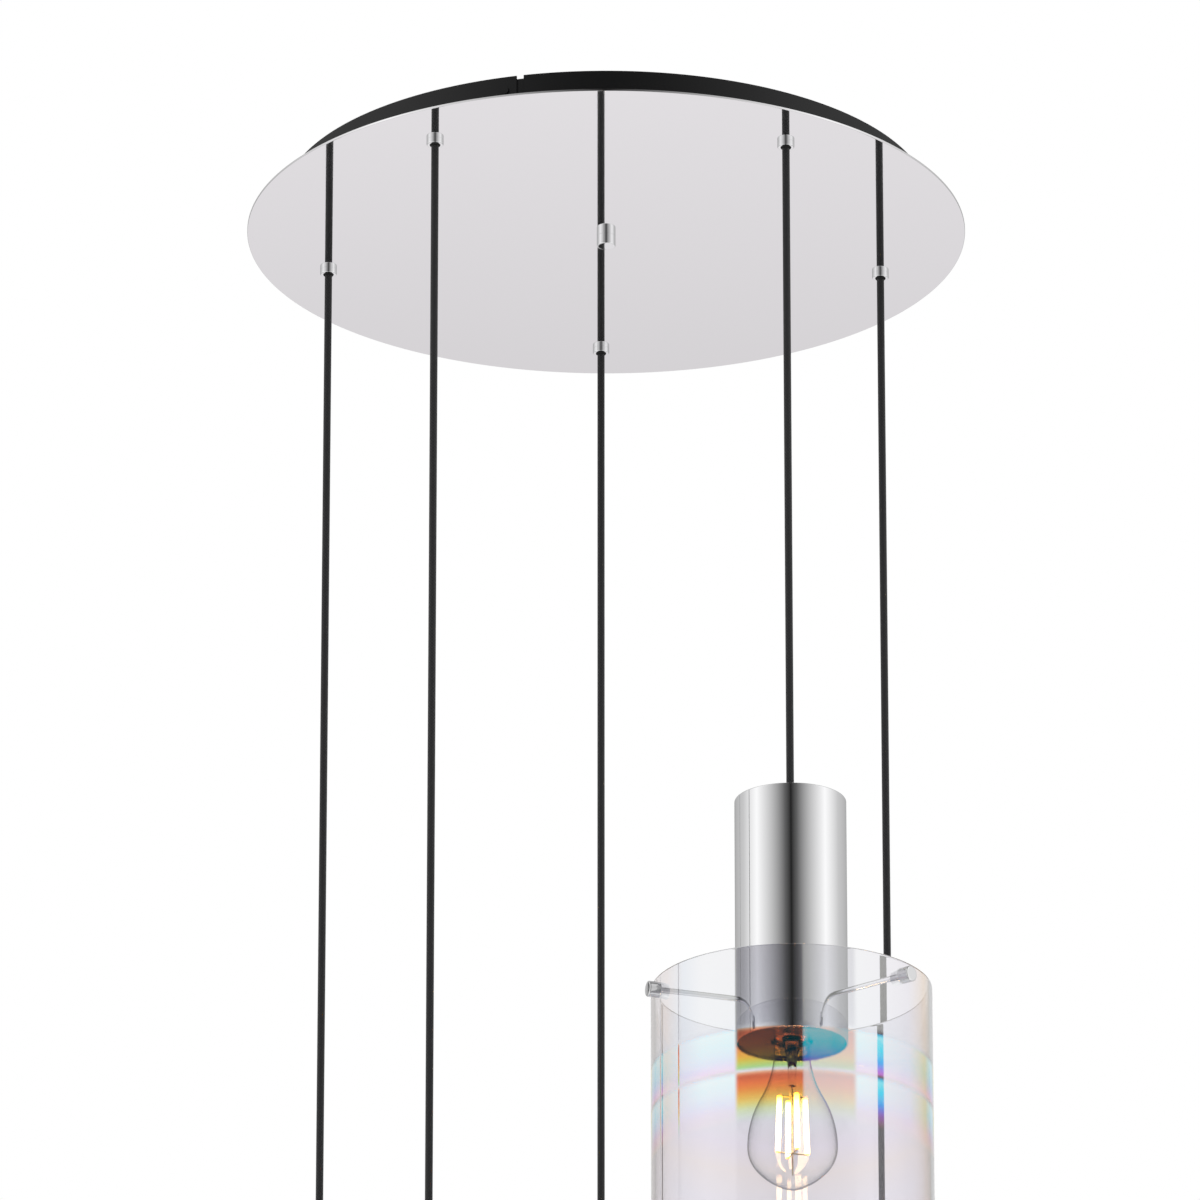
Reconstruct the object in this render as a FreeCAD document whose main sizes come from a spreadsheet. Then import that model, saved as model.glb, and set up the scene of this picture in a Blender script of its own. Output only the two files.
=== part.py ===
# Cluster pendant: a round mirror canopy and five glass cylinders that hang from it on straight cords.
# The origin is the middle of the ceiling face and +Z is up, so the whole part lies below z = 0.
# Lengths are in millimetres and angles in degrees. Plan angles are counted from +X towards +Y.
import FreeCAD, Part

import math
import os
import re

import Sketcher
from FreeCAD import Vector

SIZES = [
    ("canopy_height", 28, "ceiling to the lower face of the plate"),
    ("plate_radius", 268, "mirror plate"),
    ("plate_thick", 1.5, "mirror plate"),
    ("plate_edge_round", 0.4, "round on the lower edge of the plate"),
    ("band_inset", 27, "edge of the plate to the outside of the black band"),
    ("band_wall", 1.2, "thickness of the band's strip"),
    ("band_slit", 5.3, "gap between the ends of the strip"),
    ("band_slit_angle", 254.9, "plan angle of the gap"),
    ("joint_plate_span", 7, "angle that the joint plate covers behind the gap"),
    ("joint_plate_height", 24.2, "height of the joint plate"),
    ("joint_plate_thick", 1.2, "thickness of the joint plate"),
    ("joint_gap", 0.05, "clearance between the joint plate and the band"),
    ("band_screw_angle", 252.2, "plan angle of the screw beside the gap"),
    ("band_screw_rise", 17, "screw axis above the lower face of the plate"),
    ("band_screw_head", 2.8, "radius of the screw head"),
    ("band_screw_shank", 1.4, "radius of the screw shank"),
    ("band_screw_proud", 1.3, "height of the screw head"),
    ("band_screw_length", 5, "length of the screw shank"),
    ("bracket_length", 240, "ceiling bar along X"),
    ("bracket_width", 30, "ceiling bar along Y"),
    ("bracket_thick", 2.5, "ceiling bar"),
    ("ceiling_hole_spacing", 200, "between the two ceiling screws"),
    ("ceiling_hole_radius", 2.75, "holes for the ceiling screws"),
    ("stud_radius", 4, "centre stud"),
    ("stud_gap", 0.3, "clearance round the stud in the plate"),
    ("knob_radius", 7, "centre knob"),
    ("knob_height", 8, "centre knob"),
    ("knob_edge_round", 0.7, "round on the lower edge of the knob"),
    ("knob_bore_depth", 5, "depth of the knob's bore"),
    ("turning_gap", 0.05, "radial running clearance of the knob and of the bulb caps"),
    ("end_gap", 0.3, "clearance at the end of a screwed piece"),
    ("block_length", 56, "terminal block along X"),
    ("block_width", 22, "terminal block along Y"),
    ("block_height", 14, "terminal block"),
    ("block_offset", 46, "terminal block from the centre, along X"),
    ("pole_pitch", 10, "between the terminals"),
    ("pole_radius", 2.2, "screw well of a terminal"),
    ("pole_depth", 9, "screw well of a terminal"),
    ("grip_inset", 22.6, "outside of the band to the circle that the cords lie on"),
    ("first_grip_angle", 307, "plan angle of the first cord"),
    ("grip_head_radius", 6.25, "bush below the plate"),
    ("grip_head_height", 4, "bush below the plate"),
    ("grip_edge_round", 0.8, "round on the lower edge of the bush"),
    ("grip_shank_radius", 5, "thread of the bush"),
    ("grip_shank_length", 8, "thread of the bush above the lower face of the plate"),
    ("grip_hole_gap", 0.1, "clearance of the thread in the plate and in its nut"),
    ("grip_nut_flats", 14, "across the flats of the lock nut"),
    ("grip_nut_thick", 4, "lock nut"),
    ("grommet_radius", 3.8, "rubber grommet inside the bush"),
    ("grommet_proud", 0.6, "grommet below the bush"),
    ("cord_radius", 2.75, "fabric cord"),
    ("cord_gap", 0.3, "clearance round the cord in the grommet and in the clamp"),
    ("cord_entry", 3, "cord inside the grommet and inside the clamp"),
    ("cord_drop_1", 514, "plate to the top of holder 1"),
    ("cord_drop_2", 760, "plate to the top of holder 2"),
    ("cord_drop_3", 860, "plate to the top of holder 3"),
    ("cord_drop_4", 960, "plate to the top of holder 4"),
    ("cord_drop_5", 1060, "plate to the top of holder 5"),
    ("holder_radius", 40, "chrome cup"),
    ("holder_height", 183.5, "chrome cup"),
    ("holder_wall", 1.2, "chrome cup"),
    ("holder_edge_round", 0.8, "round on the upper edge of the cup"),
    ("clamp_head_radius", 5.5, "cord clamp above the cup"),
    ("clamp_head_height", 5, "cord clamp above the cup"),
    ("clamp_edge_round", 0.8, "round on the upper edge of the cord clamp"),
    ("clamp_shank_radius", 4.8, "cord clamp inside the cup"),
    ("clamp_shank_length", 12, "cord clamp below the top of the cup"),
    ("clamp_hole_gap", 0.1, "clearance of the clamp in the cup"),
    ("pan_recess", 2, "pan above the lower edge of the cup"),
    ("pan_wall", 1.6, "thickness of the pan and of its skirt"),
    ("pan_height", 40, "pan with its skirt"),
    ("pan_gap", 0.1, "clearance between the pan and the cup"),
    ("pan_hole_radius", 15, "hole for the bulb in the pan"),
    ("socket_radius", 19, "lampholder"),
    ("socket_height", 42, "lampholder"),
    ("socket_depth", 28, "bore of the lampholder"),
    ("flange_radius", 26, "flange of the lampholder"),
    ("flange_thick", 3, "flange of the lampholder"),
    ("holder_screw_circle", 21.5, "radius of the circle of the two screws in the pan"),
    ("holder_screw_head", 2.8, "radius of a screw head under the pan"),
    ("holder_screw_proud", 1.6, "height of a screw head under the pan"),
    ("holder_screw_shank", 1.5, "radius of a screw shank"),
    ("holder_screw_gap", 0.1, "clearance of the screws in the pan and flange"),
    ("shade_radius", 100, "outside of the glass cylinder"),
    ("shade_wall", 3, "thickness of the glass"),
    ("shade_height", 250, "glass cylinder"),
    ("shade_rim_rise", 41, "lower edge of the cup to the upper rim of the glass"),
    ("shade_edge_round", 0.8, "round on the rims of the glass"),
    ("shade_screw_inset", 12, "rim of the glass to the axis of the shade screws"),
    ("shade_screw_angle", 80, "plan angle of the first of the three shade screws"),
    ("shade_screw_radius", 2, "rod of a shade screw"),
    ("shade_screw_reach", 3, "rod inside the pan's skirt"),
    ("shade_screw_gap", 0.2, "clearance of the rods in their holes"),
    ("cap_head_radius", 5.65, "head of a shade screw outside the glass"),
    ("cap_head_length", 9, "head of a shade screw outside the glass"),
    ("cap_head_round", 0.9, "round on the outer edge of the head"),
    ("cap_head_gap", 0.2, "between the flat head and the round glass"),
    ("bulb_length", 140, "bulb with its cap"),
    ("bulb_radius", 32, "widest part of the bulb"),
    ("bulb_shoulder_radius", 24, "bulb's outline just below its widest part"),
    ("bulb_shoulder_turn", 40, "angle that the shoulder's arc turns through"),
    ("bulb_dome_radius", 50, "bulb's outline between the shoulder and the tip"),
    ("bulb_tip_radius", 9, "bulb's outline at its tip"),
    ("bulb_neck_radius", 12.9, "glass neck of the bulb"),
    ("bulb_neck_length", 9, "straight part of the neck"),
    ("bulb_wall", 0.8, "thickness of the bulb's glass"),
    ("bulb_cap_radius", 13.2, "screw cap of the bulb"),
    ("bulb_cap_length", 27, "screw cap of the bulb"),
    ("bulb_cap_cone", 4, "insulator cone of the cap"),
    ("bulb_contact_radius", 5, "end contact of the cap"),
    ("stem_top_radius", 7, "glass stem at the cap"),
    ("stem_tip_radius", 2.5, "glass stem at its tip"),
    ("stem_length", 36, "glass stem"),
    ("wire_radius", 0.5, "lead wires"),
    ("wire_length", 66, "middle wire below the stem"),
    ("stick_radius", 1.8, "filament stick"),
    ("stick_top_drop", 44, "cap to the upper ends of the filament sticks"),
    ("stick_foot_drop", 86, "cap to the lower ends of the filament sticks"),
    ("stick_top_circle", 9.5, "circle of the upper ends of the sticks"),
    ("stick_foot_circle", 11, "circle of the lower ends of the sticks"),
]

# Places that follow from the sizes, so that the pieces keep together when one of them changes
PLACES = [
    ("band_radius", "plate_radius - band_inset", "outside of the black band"),
    ("grip_circle", "band_radius - grip_inset", "radius of the circle that the cords lie on"),
    ("shade_rim_drop", "holder_height - shade_rim_rise", "top of the cup to the upper rim of the glass"),
]

PENDANTS = 5
PENDANT_PITCH = 360 / PENDANTS
POLES = 5
SHADE_SCREWS = 3
STICKS = 4
FIRST_STICK_ANGLE = 17

doc = FreeCAD.newDocument("cluster_pendant")
sheet = doc.addObject("Spreadsheet::Sheet", "sizes")
formulas = [(alias, f"={text}", note) for alias, text, note in PLACES]
for row, (alias, entry, note) in enumerate(SIZES + formulas, start=1):
    sheet.set(f"A{row}", str(entry))
    sheet.setAlias(f"A{row}", alias)
    sheet.set(f"B{row}", note)
doc.recompute()

nodes = {}


def cells(text):
    """Every alias has an underscore, so the words that have one are read from the sheet."""
    return re.sub(r"\b[a-z]+_\w+", lambda word: "sizes." + word.group(), text)


def bind(piece, expressions):
    """Tie properties of a piece to expressions of the sheet's aliases."""
    for name, text in expressions.items():
        piece.setExpression(name, cells(text))
    return piece


def size(alias):
    """A size from the sheet as a plain number."""
    return float(sheet.get(alias))


def node(name, piece):
    """Register a finished sub-part under the name of its file."""
    piece.Label = name
    nodes[name] = piece
    return piece


# Straight primitives, each hung from the height of its upper face

def rod(name, radius, top, length, x="0", y="0"):
    """An upright round bar."""
    piece = doc.addObject("Part::Cylinder", name)
    return bind(piece, {
        "Radius": radius,
        "Height": length,
        "Placement.Base.x": x,
        "Placement.Base.y": y,
        "Placement.Base.z": f"{top} - ({length})",
    })


def slab(name, length, width, top, height, x="0", y="0"):
    """A rectangular block, centred on x and y."""
    piece = doc.addObject("Part::Box", name)
    return bind(piece, {
        "Length": length,
        "Width": width,
        "Height": height,
        "Placement.Base.x": f"{x} - ({length}) / 2",
        "Placement.Base.y": f"{y} - ({width}) / 2",
        "Placement.Base.z": f"{top} - ({height})",
    })


def cut(name, base, *tools):
    """A piece with the tools taken away."""
    for number, tool in enumerate(tools, start=1):
        last = number == len(tools)
        result = doc.addObject("Part::Cut", name if last else f"{name}_step")
        result.Base = base
        result.Tool = tool
        base = result
    return base


def fuse(name, *pieces):
    """Pieces that are welded or moulded into one."""
    result = doc.addObject("Part::MultiFuse", name)
    result.Shapes = list(pieces)
    return result


def group(name, pieces):
    """Separate solids that share one node."""
    result = doc.addObject("Part::Compound", name)
    result.Links = list(pieces)
    return result


def copy_at(name, piece, distance, angle, height, turn=None):
    """A copy of a piece, turned and then moved to a distance from the axis, at a plan angle."""
    copy = doc.addObject("App::Link", name)
    copy.LinkedObject = piece
    copy.LinkTransform = True
    return bind(copy, {
        "Placement.Base.x": f"({distance}) * cos(({angle}) * 1 deg)",
        "Placement.Base.y": f"({distance}) * sin(({angle}) * 1 deg)",
        "Placement.Base.z": height,
        "Placement.Rotation.Angle": f"({turn or angle}) * 1 deg",
    })


# Turned pieces, each drawn as half a section

def origin_part(body, role):
    """A base plane or axis of a body."""
    return next(item for item in body.Origin.OriginFeatures if item.Role == role)


def sketch_on(body, role, name):
    """A sketch on one of the body's base planes."""
    sketch = body.newObject("Sketcher::SketchObject", name)
    sketch.AttachmentSupport = [(origin_part(body, role), "")]
    sketch.MapMode = "FlatFace"
    return sketch


def fix_point(sketch, line, name, across, down):
    """Hold the first end of a line at a distance from both axes of the sketch."""
    start = 1
    for axis, kind, text in ((-2, "DistanceX", across), (-1, "DistanceY", down)):
        if text == "0":
            sketch.addConstraint(Sketcher.Constraint("PointOnObject", line, start, axis))
            continue
        ends = (-1, 1, line, start) if kind == "DistanceX" else (line, start, -1, 1)
        number = sketch.addConstraint(Sketcher.Constraint(kind, *ends, 1.0))
        sketch.renameConstraint(number, f"{name}_{kind}")
        sketch.setExpression(f"Constraints.{name}_{kind}", cells(text))


def turned(name, points, lying=False):
    """A body turned from a closed outline.

    An upright piece turns about Z, and its points are (radius, depth below its top). A lying piece turns
    about X, and its points are (distance along X, radius). The outline starts as a small loose polygon, and
    the constraints bring its points to their places.
    """
    body = doc.addObject("PartDesign::Body", name)
    sketch = sketch_on(body, "XY_Plane" if lying else "XZ_Plane", f"{name}_section")
    count = len(points)
    turns = [math.tau * k / count for k in range(count + 1)]
    loose = [Vector(2 + math.cos(turn), -2 - math.sin(turn), 0) for turn in turns]
    for first, second in zip(loose, loose[1:]):
        sketch.addGeometry(Part.LineSegment(first, second), False)
    for k in range(count):
        sketch.addConstraint(Sketcher.Constraint("Coincident", k, 2, (k + 1) % count, 1))
    for k, (across, down) in enumerate(points):
        fix_point(sketch, k, f"point_{k}", across, down)
    turn = body.newObject("PartDesign::Revolution", f"{name}_turn")
    turn.Profile = sketch
    turn.ReferenceAxis = (sketch, ["H_Axis" if lying else "V_Axis"])
    turn.Angle = 360
    doc.recompute()
    return body


def round_edges(body, radius, chosen):
    """Round the circular edges that the test chosen(centre, radius) picks."""
    picked = []
    for number, edge in enumerate(body.Shape.Edges, start=1):
        if isinstance(edge.Curve, Part.Circle) and chosen(edge.Curve.Center, edge.Curve.Radius):
            picked.append(f"Edge{number}")
    if not picked:
        raise ValueError(f"{body.Name} has no edge to round")
    sharp = body.Tip
    fillet = body.newObject("PartDesign::Fillet", f"{body.Name}_round")
    fillet.Base = (sharp, picked)
    body.Tip = fillet
    bind(fillet, {"Radius": radius})
    doc.recompute()


def same(first, second):
    """Equal within a hundredth of a millimetre."""
    return abs(first - second) < 0.01


def around(body, feature, count):
    """Repeat a feature evenly about the body's Z axis."""
    pattern = body.newObject("PartDesign::PolarPattern", f"{body.Name}_ring")
    pattern.Originals = [feature]
    pattern.Axis = (origin_part(body, "Z_Axis"), [""])
    pattern.Angle = 360
    pattern.Occurrences = count
    body.Tip = pattern
    doc.recompute()


def radial_holes(body, radius, depth, count):
    """Round holes through the wall, square to the axis, the first one towards +X."""
    sketch = sketch_on(body, "YZ_Plane", f"{body.Name}_hole")
    drill(body, sketch, radius, "DistanceY", depth, count)


def drill(body, sketch, radius, kind, distance, count):
    """Cut a round hole through the body, at a distance from the sketch's middle along one of its axes.

    A hole counted in Y lies below the middle and is cut towards +X. One counted in X lies on the X axis.
    """
    below = kind == "DistanceY"
    place = Vector(0, -1, 0) if below else Vector(1, 0, 0)
    circle = sketch.addGeometry(Part.Circle(place, Vector(0, 0, 1), 1), False)
    sketch.addConstraint(Sketcher.Constraint("PointOnObject", circle, 3, -2 if below else -1))
    ends = (circle, 3, -1, 1) if below else (-1, 1, circle, 3)
    for name, text, constraint in (
        ("hole_radius", radius, Sketcher.Constraint("Radius", circle, 1.0)),
        ("hole_place", distance, Sketcher.Constraint(kind, *ends, 1.0)),
    ):
        sketch.renameConstraint(sketch.addConstraint(constraint), name)
        sketch.setExpression(f"Constraints.{name}", cells(text))
    pocket = body.newObject("PartDesign::Pocket", f"{body.Name}_pocket")
    pocket.Profile = sketch
    pocket.Type = "ThroughAll"
    pocket.Reversed = below
    doc.recompute()
    around(body, pocket, count)


# Canopy

def ceiling_bracket():
    """A flat bar on the ceiling, with a hole for each ceiling screw and a stud welded under its middle."""
    bar = slab("bracket_bar", "bracket_length", "bracket_width", "0", "bracket_thick")
    holes = [
        rod(f"ceiling_hole_{side}", "ceiling_hole_radius", "0", "bracket_thick",
            f"{side} * ceiling_hole_spacing / 2")
        for side in (-1, 1)
    ]
    stud = rod("centre_stud", "stud_radius", "-bracket_thick",
               "canopy_height + knob_bore_depth - bracket_thick - end_gap")
    node("ceiling_bracket", fuse("bracket_weld", cut("bracket_drilled", bar, *holes), stud))


def terminal_block():
    """A moulded block under the bar, with a row of screw wells in its lower face."""
    body = slab("block_body", "block_length", "block_width", "-bracket_thick", "block_height", "block_offset")
    wells = [
        rod(f"pole_{pole}", "pole_radius", "pole_depth - bracket_thick - block_height", "pole_depth",
            f"block_offset + {pole - (POLES - 1) / 2} * pole_pitch")
        for pole in range(POLES)
    ]
    node("terminal_block", cut("block_drilled", body, *wells))


def band_drill():
    """A round bar along +X through the band and the joint plate, for the hole of the band's screw."""
    bar = doc.addObject("Part::Cylinder", "band_drill")
    bar.Placement.Rotation = FreeCAD.Rotation(Vector(0, 1, 0), 90)
    return bind(bar, {
        "Radius": "band_screw_shank",
        "Height": "2 * band_screw_length",
        "Placement.Base.x": "band_radius - band_screw_length",
    })


def canopy_band(screw_hole):
    """A strip bent to a ring between the ceiling and the plate, open at one slit."""
    height = "canopy_height - plate_thick"
    outside = rod("band_outside", "band_radius", "0", height)
    inside = rod("band_inside", "band_radius - band_wall", "0", height)
    ring = cut("band_ring", outside, inside)
    slit = slab("band_slit_tool", "2 * joint_plate_height", "band_slit", "0", height)
    slit_copy = copy_at("band_slit_cut", slit, "band_radius", "band_slit_angle", "0")
    hole = copy_at("band_hole_cut", screw_hole, "0", "band_screw_angle", "band_screw_rise - canopy_height")
    node("canopy_band", cut("band_open", ring, slit_copy, hole))


def band_joint_plate(screw_hole):
    """A curved plate behind the slit, standing on the mirror plate."""
    radius = "band_radius - band_wall - joint_gap"
    outside = rod("joint_outside", radius, "joint_plate_height", "joint_plate_height")
    inside = rod("joint_inside", f"{radius} - joint_plate_thick", "joint_plate_height",
                 "joint_plate_height")
    bind(outside, {"Angle": "joint_plate_span"})
    first_angle = "band_slit_angle - joint_plate_span / 2"
    hole = copy_at("joint_hole_cut", screw_hole, "0", f"band_screw_angle - ({first_angle})",
                   "band_screw_rise - plate_thick")
    drilled = cut("joint_drilled", cut("joint_sector", outside, inside), hole)
    node("band_joint_plate",
         copy_at("band_joint_plate", drilled, "0", first_angle, "plate_thick - canopy_height"))


def band_screw():
    """A small screw through the band into the joint plate."""
    body = turned("band_screw_turned", [
        ("band_radius - band_screw_length", "0"),
        ("band_radius + band_screw_proud", "0"),
        ("band_radius + band_screw_proud", "band_screw_head"),
        ("band_radius", "band_screw_head"),
        ("band_radius", "band_screw_shank"),
        ("band_radius - band_screw_length", "band_screw_shank"),
    ], lying=True)
    node("band_screw",
         copy_at("band_screw", body, "0", "band_screw_angle", "band_screw_rise - canopy_height"))


def face_plate():
    """The mirror plate, with a hole for the stud and one for each cord grip."""
    body = turned("face_plate", [
        ("stud_radius + stud_gap", "0"),
        ("plate_radius", "0"),
        ("plate_radius", "plate_thick"),
        ("stud_radius + stud_gap", "plate_thick"),
    ])
    sketch = sketch_on(body, "XY_Plane", "grip_hole")
    drill(body, sketch, "grip_shank_radius + grip_hole_gap", "DistanceX", "grip_circle", PENDANTS)
    round_edges(body, "plate_edge_round", lambda centre, radius: same(radius, size("plate_radius"))
                and same(centre.z, -size("plate_thick")))
    node("face_plate",
         copy_at("face_plate_set", body, "0", "first_grip_angle", "plate_thick - canopy_height"))


def centre_knob():
    """A round knob that screws onto the stud from below and holds the plate."""
    bore = "stud_radius + turning_gap"
    body = turned("knob_turned", [
        (bore, "0"),
        ("knob_radius", "0"),
        ("knob_radius", "knob_height"),
        ("0", "knob_height"),
        ("0", "knob_bore_depth"),
        (bore, "knob_bore_depth"),
    ])
    round_edges(body, "knob_edge_round", lambda centre, radius: same(radius, size("knob_radius"))
                and same(centre.z, -size("knob_height")))
    node("centre_knob", copy_at("centre_knob", body, "0", "0", "-canopy_height"))


def at_each_grip(name, piece, height):
    """One copy of a piece at each of the cords, as a group."""
    copies = [
        copy_at(f"{name}_{number + 1}", piece, "grip_circle", f"first_grip_angle + {number * PENDANT_PITCH}",
                height)
        for number in range(PENDANTS)
    ]
    node(name, group(f"{name}_group", copies))


def cord_grips():
    """Chrome bushes: the head is below the plate and the thread goes up through it."""
    bush = turned("grip_turned", [
        ("grommet_radius", "0"),
        ("grip_shank_radius", "0"),
        ("grip_shank_radius", "grip_shank_length"),
        ("grip_head_radius", "grip_shank_length"),
        ("grip_head_radius", "grip_shank_length + grip_head_height"),
        ("grommet_radius", "grip_shank_length + grip_head_height"),
    ])
    round_edges(bush, "grip_edge_round", lambda centre, radius: same(radius, size("grip_head_radius"))
                and same(centre.z, -size("grip_shank_length") - size("grip_head_height")))
    at_each_grip("cord_grips", bush, "grip_shank_length - canopy_height")


def grip_grommets():
    """Rubber sleeves inside the bushes, with a bore for the cord."""
    height = "grip_shank_length + grip_head_height + grommet_proud"
    sleeve = rod("grommet_sleeve", "grommet_radius", "0", height)
    bore = rod("grommet_bore", "cord_radius + cord_gap", "0", height)
    at_each_grip("grip_grommets", cut("grommet", sleeve, bore), "grip_shank_length - canopy_height")


def grip_nuts():
    """Hexagon lock nuts on top of the plate."""
    hexagon = doc.addObject("Part::Prism", "nut_hexagon")
    hexagon.Polygon = 6
    bind(hexagon, {"Circumradius": "grip_nut_flats / sqrt(3)", "Height": "grip_nut_thick"})
    bore = rod("nut_bore", "grip_shank_radius + grip_hole_gap", "grip_nut_thick", "grip_nut_thick")
    at_each_grip("grip_nuts", cut("nut", hexagon, bore), "plate_thick - canopy_height")


# Pendant pieces, each drawn once and then copied to every pendant

def holder_cup():
    """A drawn cup, open below, with a hole in its top and three holes for the shade screws."""
    inner = "holder_radius - holder_wall"
    body = turned("holder_cup", [
        ("clamp_shank_radius + clamp_hole_gap", "0"),
        ("holder_radius", "0"),
        ("holder_radius", "holder_height"),
        (inner, "holder_height"),
        (inner, "holder_wall"),
        ("clamp_shank_radius + clamp_hole_gap", "holder_wall"),
    ])
    round_edges(body, "holder_edge_round", lambda centre, radius: same(centre.z, 0)
                and same(radius, size("holder_radius")))
    radial_holes(body, "shade_screw_radius + shade_screw_gap", "shade_rim_drop + shade_screw_inset",
                 SHADE_SCREWS)
    return body, "0"


def cord_clamp():
    """A nipple in the top of the cup that grips the cord."""
    bore = "cord_radius + cord_gap"
    total = "clamp_head_height + clamp_shank_length"
    body = turned("cord_clamp", [
        (bore, "0"),
        ("clamp_head_radius", "0"),
        ("clamp_head_radius", "clamp_head_height"),
        ("clamp_shank_radius", "clamp_head_height"),
        ("clamp_shank_radius", total),
        (bore, total),
    ])
    round_edges(body, "clamp_edge_round", lambda centre, radius: same(centre.z, 0)
                and same(radius, size("clamp_head_radius")))
    return body, "clamp_head_height"


def closing_pan():
    """A disc with an upright skirt. The skirt takes the shade screws, and the disc carries the lampholder."""
    outside = "holder_radius - holder_wall - pan_gap"
    body = turned("closing_pan", [
        (f"{outside} - pan_wall", "0"),
        (outside, "0"),
        (outside, "pan_height"),
        ("pan_hole_radius", "pan_height"),
        ("pan_hole_radius", "pan_height - pan_wall"),
        (f"{outside} - pan_wall", "pan_height - pan_wall"),
    ])
    radial_holes(body, "shade_screw_radius + shade_screw_gap",
                 "pan_recess + pan_height + shade_screw_inset - shade_rim_rise", SHADE_SCREWS)
    drills = [
        rod(f"pan_drill_{side}", "holder_screw_shank + holder_screw_gap", "0", "pan_height",
            f"{side} * holder_screw_circle")
        for side in (-1, 1)
    ]
    return cut("pan_drilled", body, *drills), "pan_recess + pan_height - holder_height"


def lampholder():
    """A lampholder with a bore for the bulb's cap and a flange that stands on the pan."""
    bore = "bulb_cap_radius + turning_gap"
    body = turned("lampholder", [
        ("0", "0"),
        ("socket_radius", "0"),
        ("socket_radius", "socket_height - flange_thick"),
        ("flange_radius", "socket_height - flange_thick"),
        ("flange_radius", "socket_height"),
        (bore, "socket_height"),
        (bore, "socket_height - socket_depth"),
        ("0", "socket_height - socket_depth"),
    ])
    drills = [
        rod(f"flange_drill_{side}", "holder_screw_shank + holder_screw_gap", "0", "socket_height",
            f"{side} * holder_screw_circle")
        for side in (-1, 1)
    ]
    return cut("lampholder_drilled", body, *drills), "pan_recess + pan_wall + socket_height - holder_height"


def holder_screws():
    """Two screws, up through the pan into the flange of the lampholder."""
    shank = "pan_wall + flange_thick"
    screws = [
        fuse(f"holder_screw_{side}",
             rod(f"holder_screw_shank_{side}", "holder_screw_shank", shank, shank,
                 f"{side} * holder_screw_circle"),
             rod(f"holder_screw_head_{side}", "holder_screw_head", "0", "holder_screw_proud",
                 f"{side} * holder_screw_circle"))
        for side in (-1, 1)
    ]
    return group("holder_screw_pair", screws), "pan_recess - holder_height"


def shade_screws():
    """Three long screws: the rod goes in to the pan and the round head stands outside the glass."""
    inside = "holder_radius - holder_wall - pan_gap - pan_wall - shade_screw_reach"
    seat = "shade_radius + cap_head_gap"
    body = turned("shade_screws", [
        (inside, "0"),
        (f"{seat} + cap_head_length", "0"),
        (f"{seat} + cap_head_length", "cap_head_radius"),
        (seat, "cap_head_radius"),
        (seat, "shade_screw_radius"),
        (inside, "shade_screw_radius"),
    ], lying=True)
    around(body, body.Tip, SHADE_SCREWS)
    outer = size("shade_radius") + size("cap_head_gap") + size("cap_head_length")
    round_edges(body, "cap_head_round", lambda centre, radius: same(radius, size("cap_head_radius"))
                and same(math.hypot(centre.x, centre.y), outer))
    return body, "-shade_rim_drop - shade_screw_inset"


def glass_shade():
    """A glass cylinder, open at both ends, with a hole for each shade screw."""
    inside = "shade_radius - shade_wall"
    body = turned("glass_shade", [
        (inside, "0"),
        ("shade_radius", "0"),
        ("shade_radius", "shade_height"),
        (inside, "shade_height"),
    ])
    round_edges(body, "shade_edge_round", lambda centre, radius: same(radius, size("shade_radius")))
    radial_holes(body, "shade_screw_radius + shade_screw_gap", "shade_screw_inset", SHADE_SCREWS)
    return body, "-shade_rim_drop"


def bulb_top():
    """Height of the bulb's end contact in the pendant, from the lampholder's bore."""
    return "pan_recess + pan_wall + socket_depth - end_gap - holder_height"


def bulb_outline(inset):
    """Line of the bulb's glass from the cap to the tip, drawn in by an inset.

    Below the straight neck the flank is two equal arcs, tangent to the neck and to each other. Three more
    arcs turn it in to the tip: the shoulder, the flatter dome, and the small round tip itself. Each starts
    where the last one ends and shares its normal there.
    """
    neck = size("bulb_neck_radius") - inset
    wide = size("bulb_radius") - inset
    radii = [size("bulb_shoulder_radius"), size("bulb_dome_radius"), size("bulb_tip_radius")]
    first_turn = math.radians(size("bulb_shoulder_turn"))
    across = radii[0] - size("bulb_radius") + (radii[1] - radii[0]) * math.cos(first_turn)
    turns = [0, first_turn, math.acos(across / (radii[1] - radii[2])), math.pi / 2]
    centres = [Vector(size("bulb_radius") - radii[0], 0, 0)]
    for turn, last, following in zip(turns[1:], radii, radii[1:]):
        centres.append(centres[-1] + Vector(math.cos(turn), 0, -math.sin(turn)) * (last - following))
    lift = Vector(0, 0, radii[2] - size("bulb_length") - centres[2].z)

    def on_arc(number, turn):
        outward = Vector(math.cos(turn), 0, -math.sin(turn))
        return centres[number] + lift + outward * (radii[number] - inset)

    cap = -size("bulb_cap_length")
    shoulder = cap - size("bulb_neck_length")
    rise, run = shoulder - lift.z, wide - neck
    arc = (run ** 2 + rise ** 2) / (4 * run)
    turn = math.asin(rise / 2 / arc) / 2
    middle = Vector((neck + wide) / 2, 0, (shoulder + lift.z) / 2)
    upper = Vector(neck + arc * (1 - math.cos(turn)), 0, shoulder - arc * math.sin(turn))
    lower = Vector(wide - arc * (1 - math.cos(turn)), 0, lift.z + arc * math.sin(turn))
    flank = [
        Part.LineSegment(Vector(neck, 0, cap), Vector(neck, 0, shoulder)),
        Part.Arc(Vector(neck, 0, shoulder), upper, middle),
        Part.Arc(middle, lower, Vector(wide, 0, lift.z)),
    ]
    return flank + [
        Part.Arc(on_arc(number, first), on_arc(number, (first + last) / 2), on_arc(number, last))
        for number, (first, last) in enumerate(zip(turns, turns[1:]))
    ]


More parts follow.
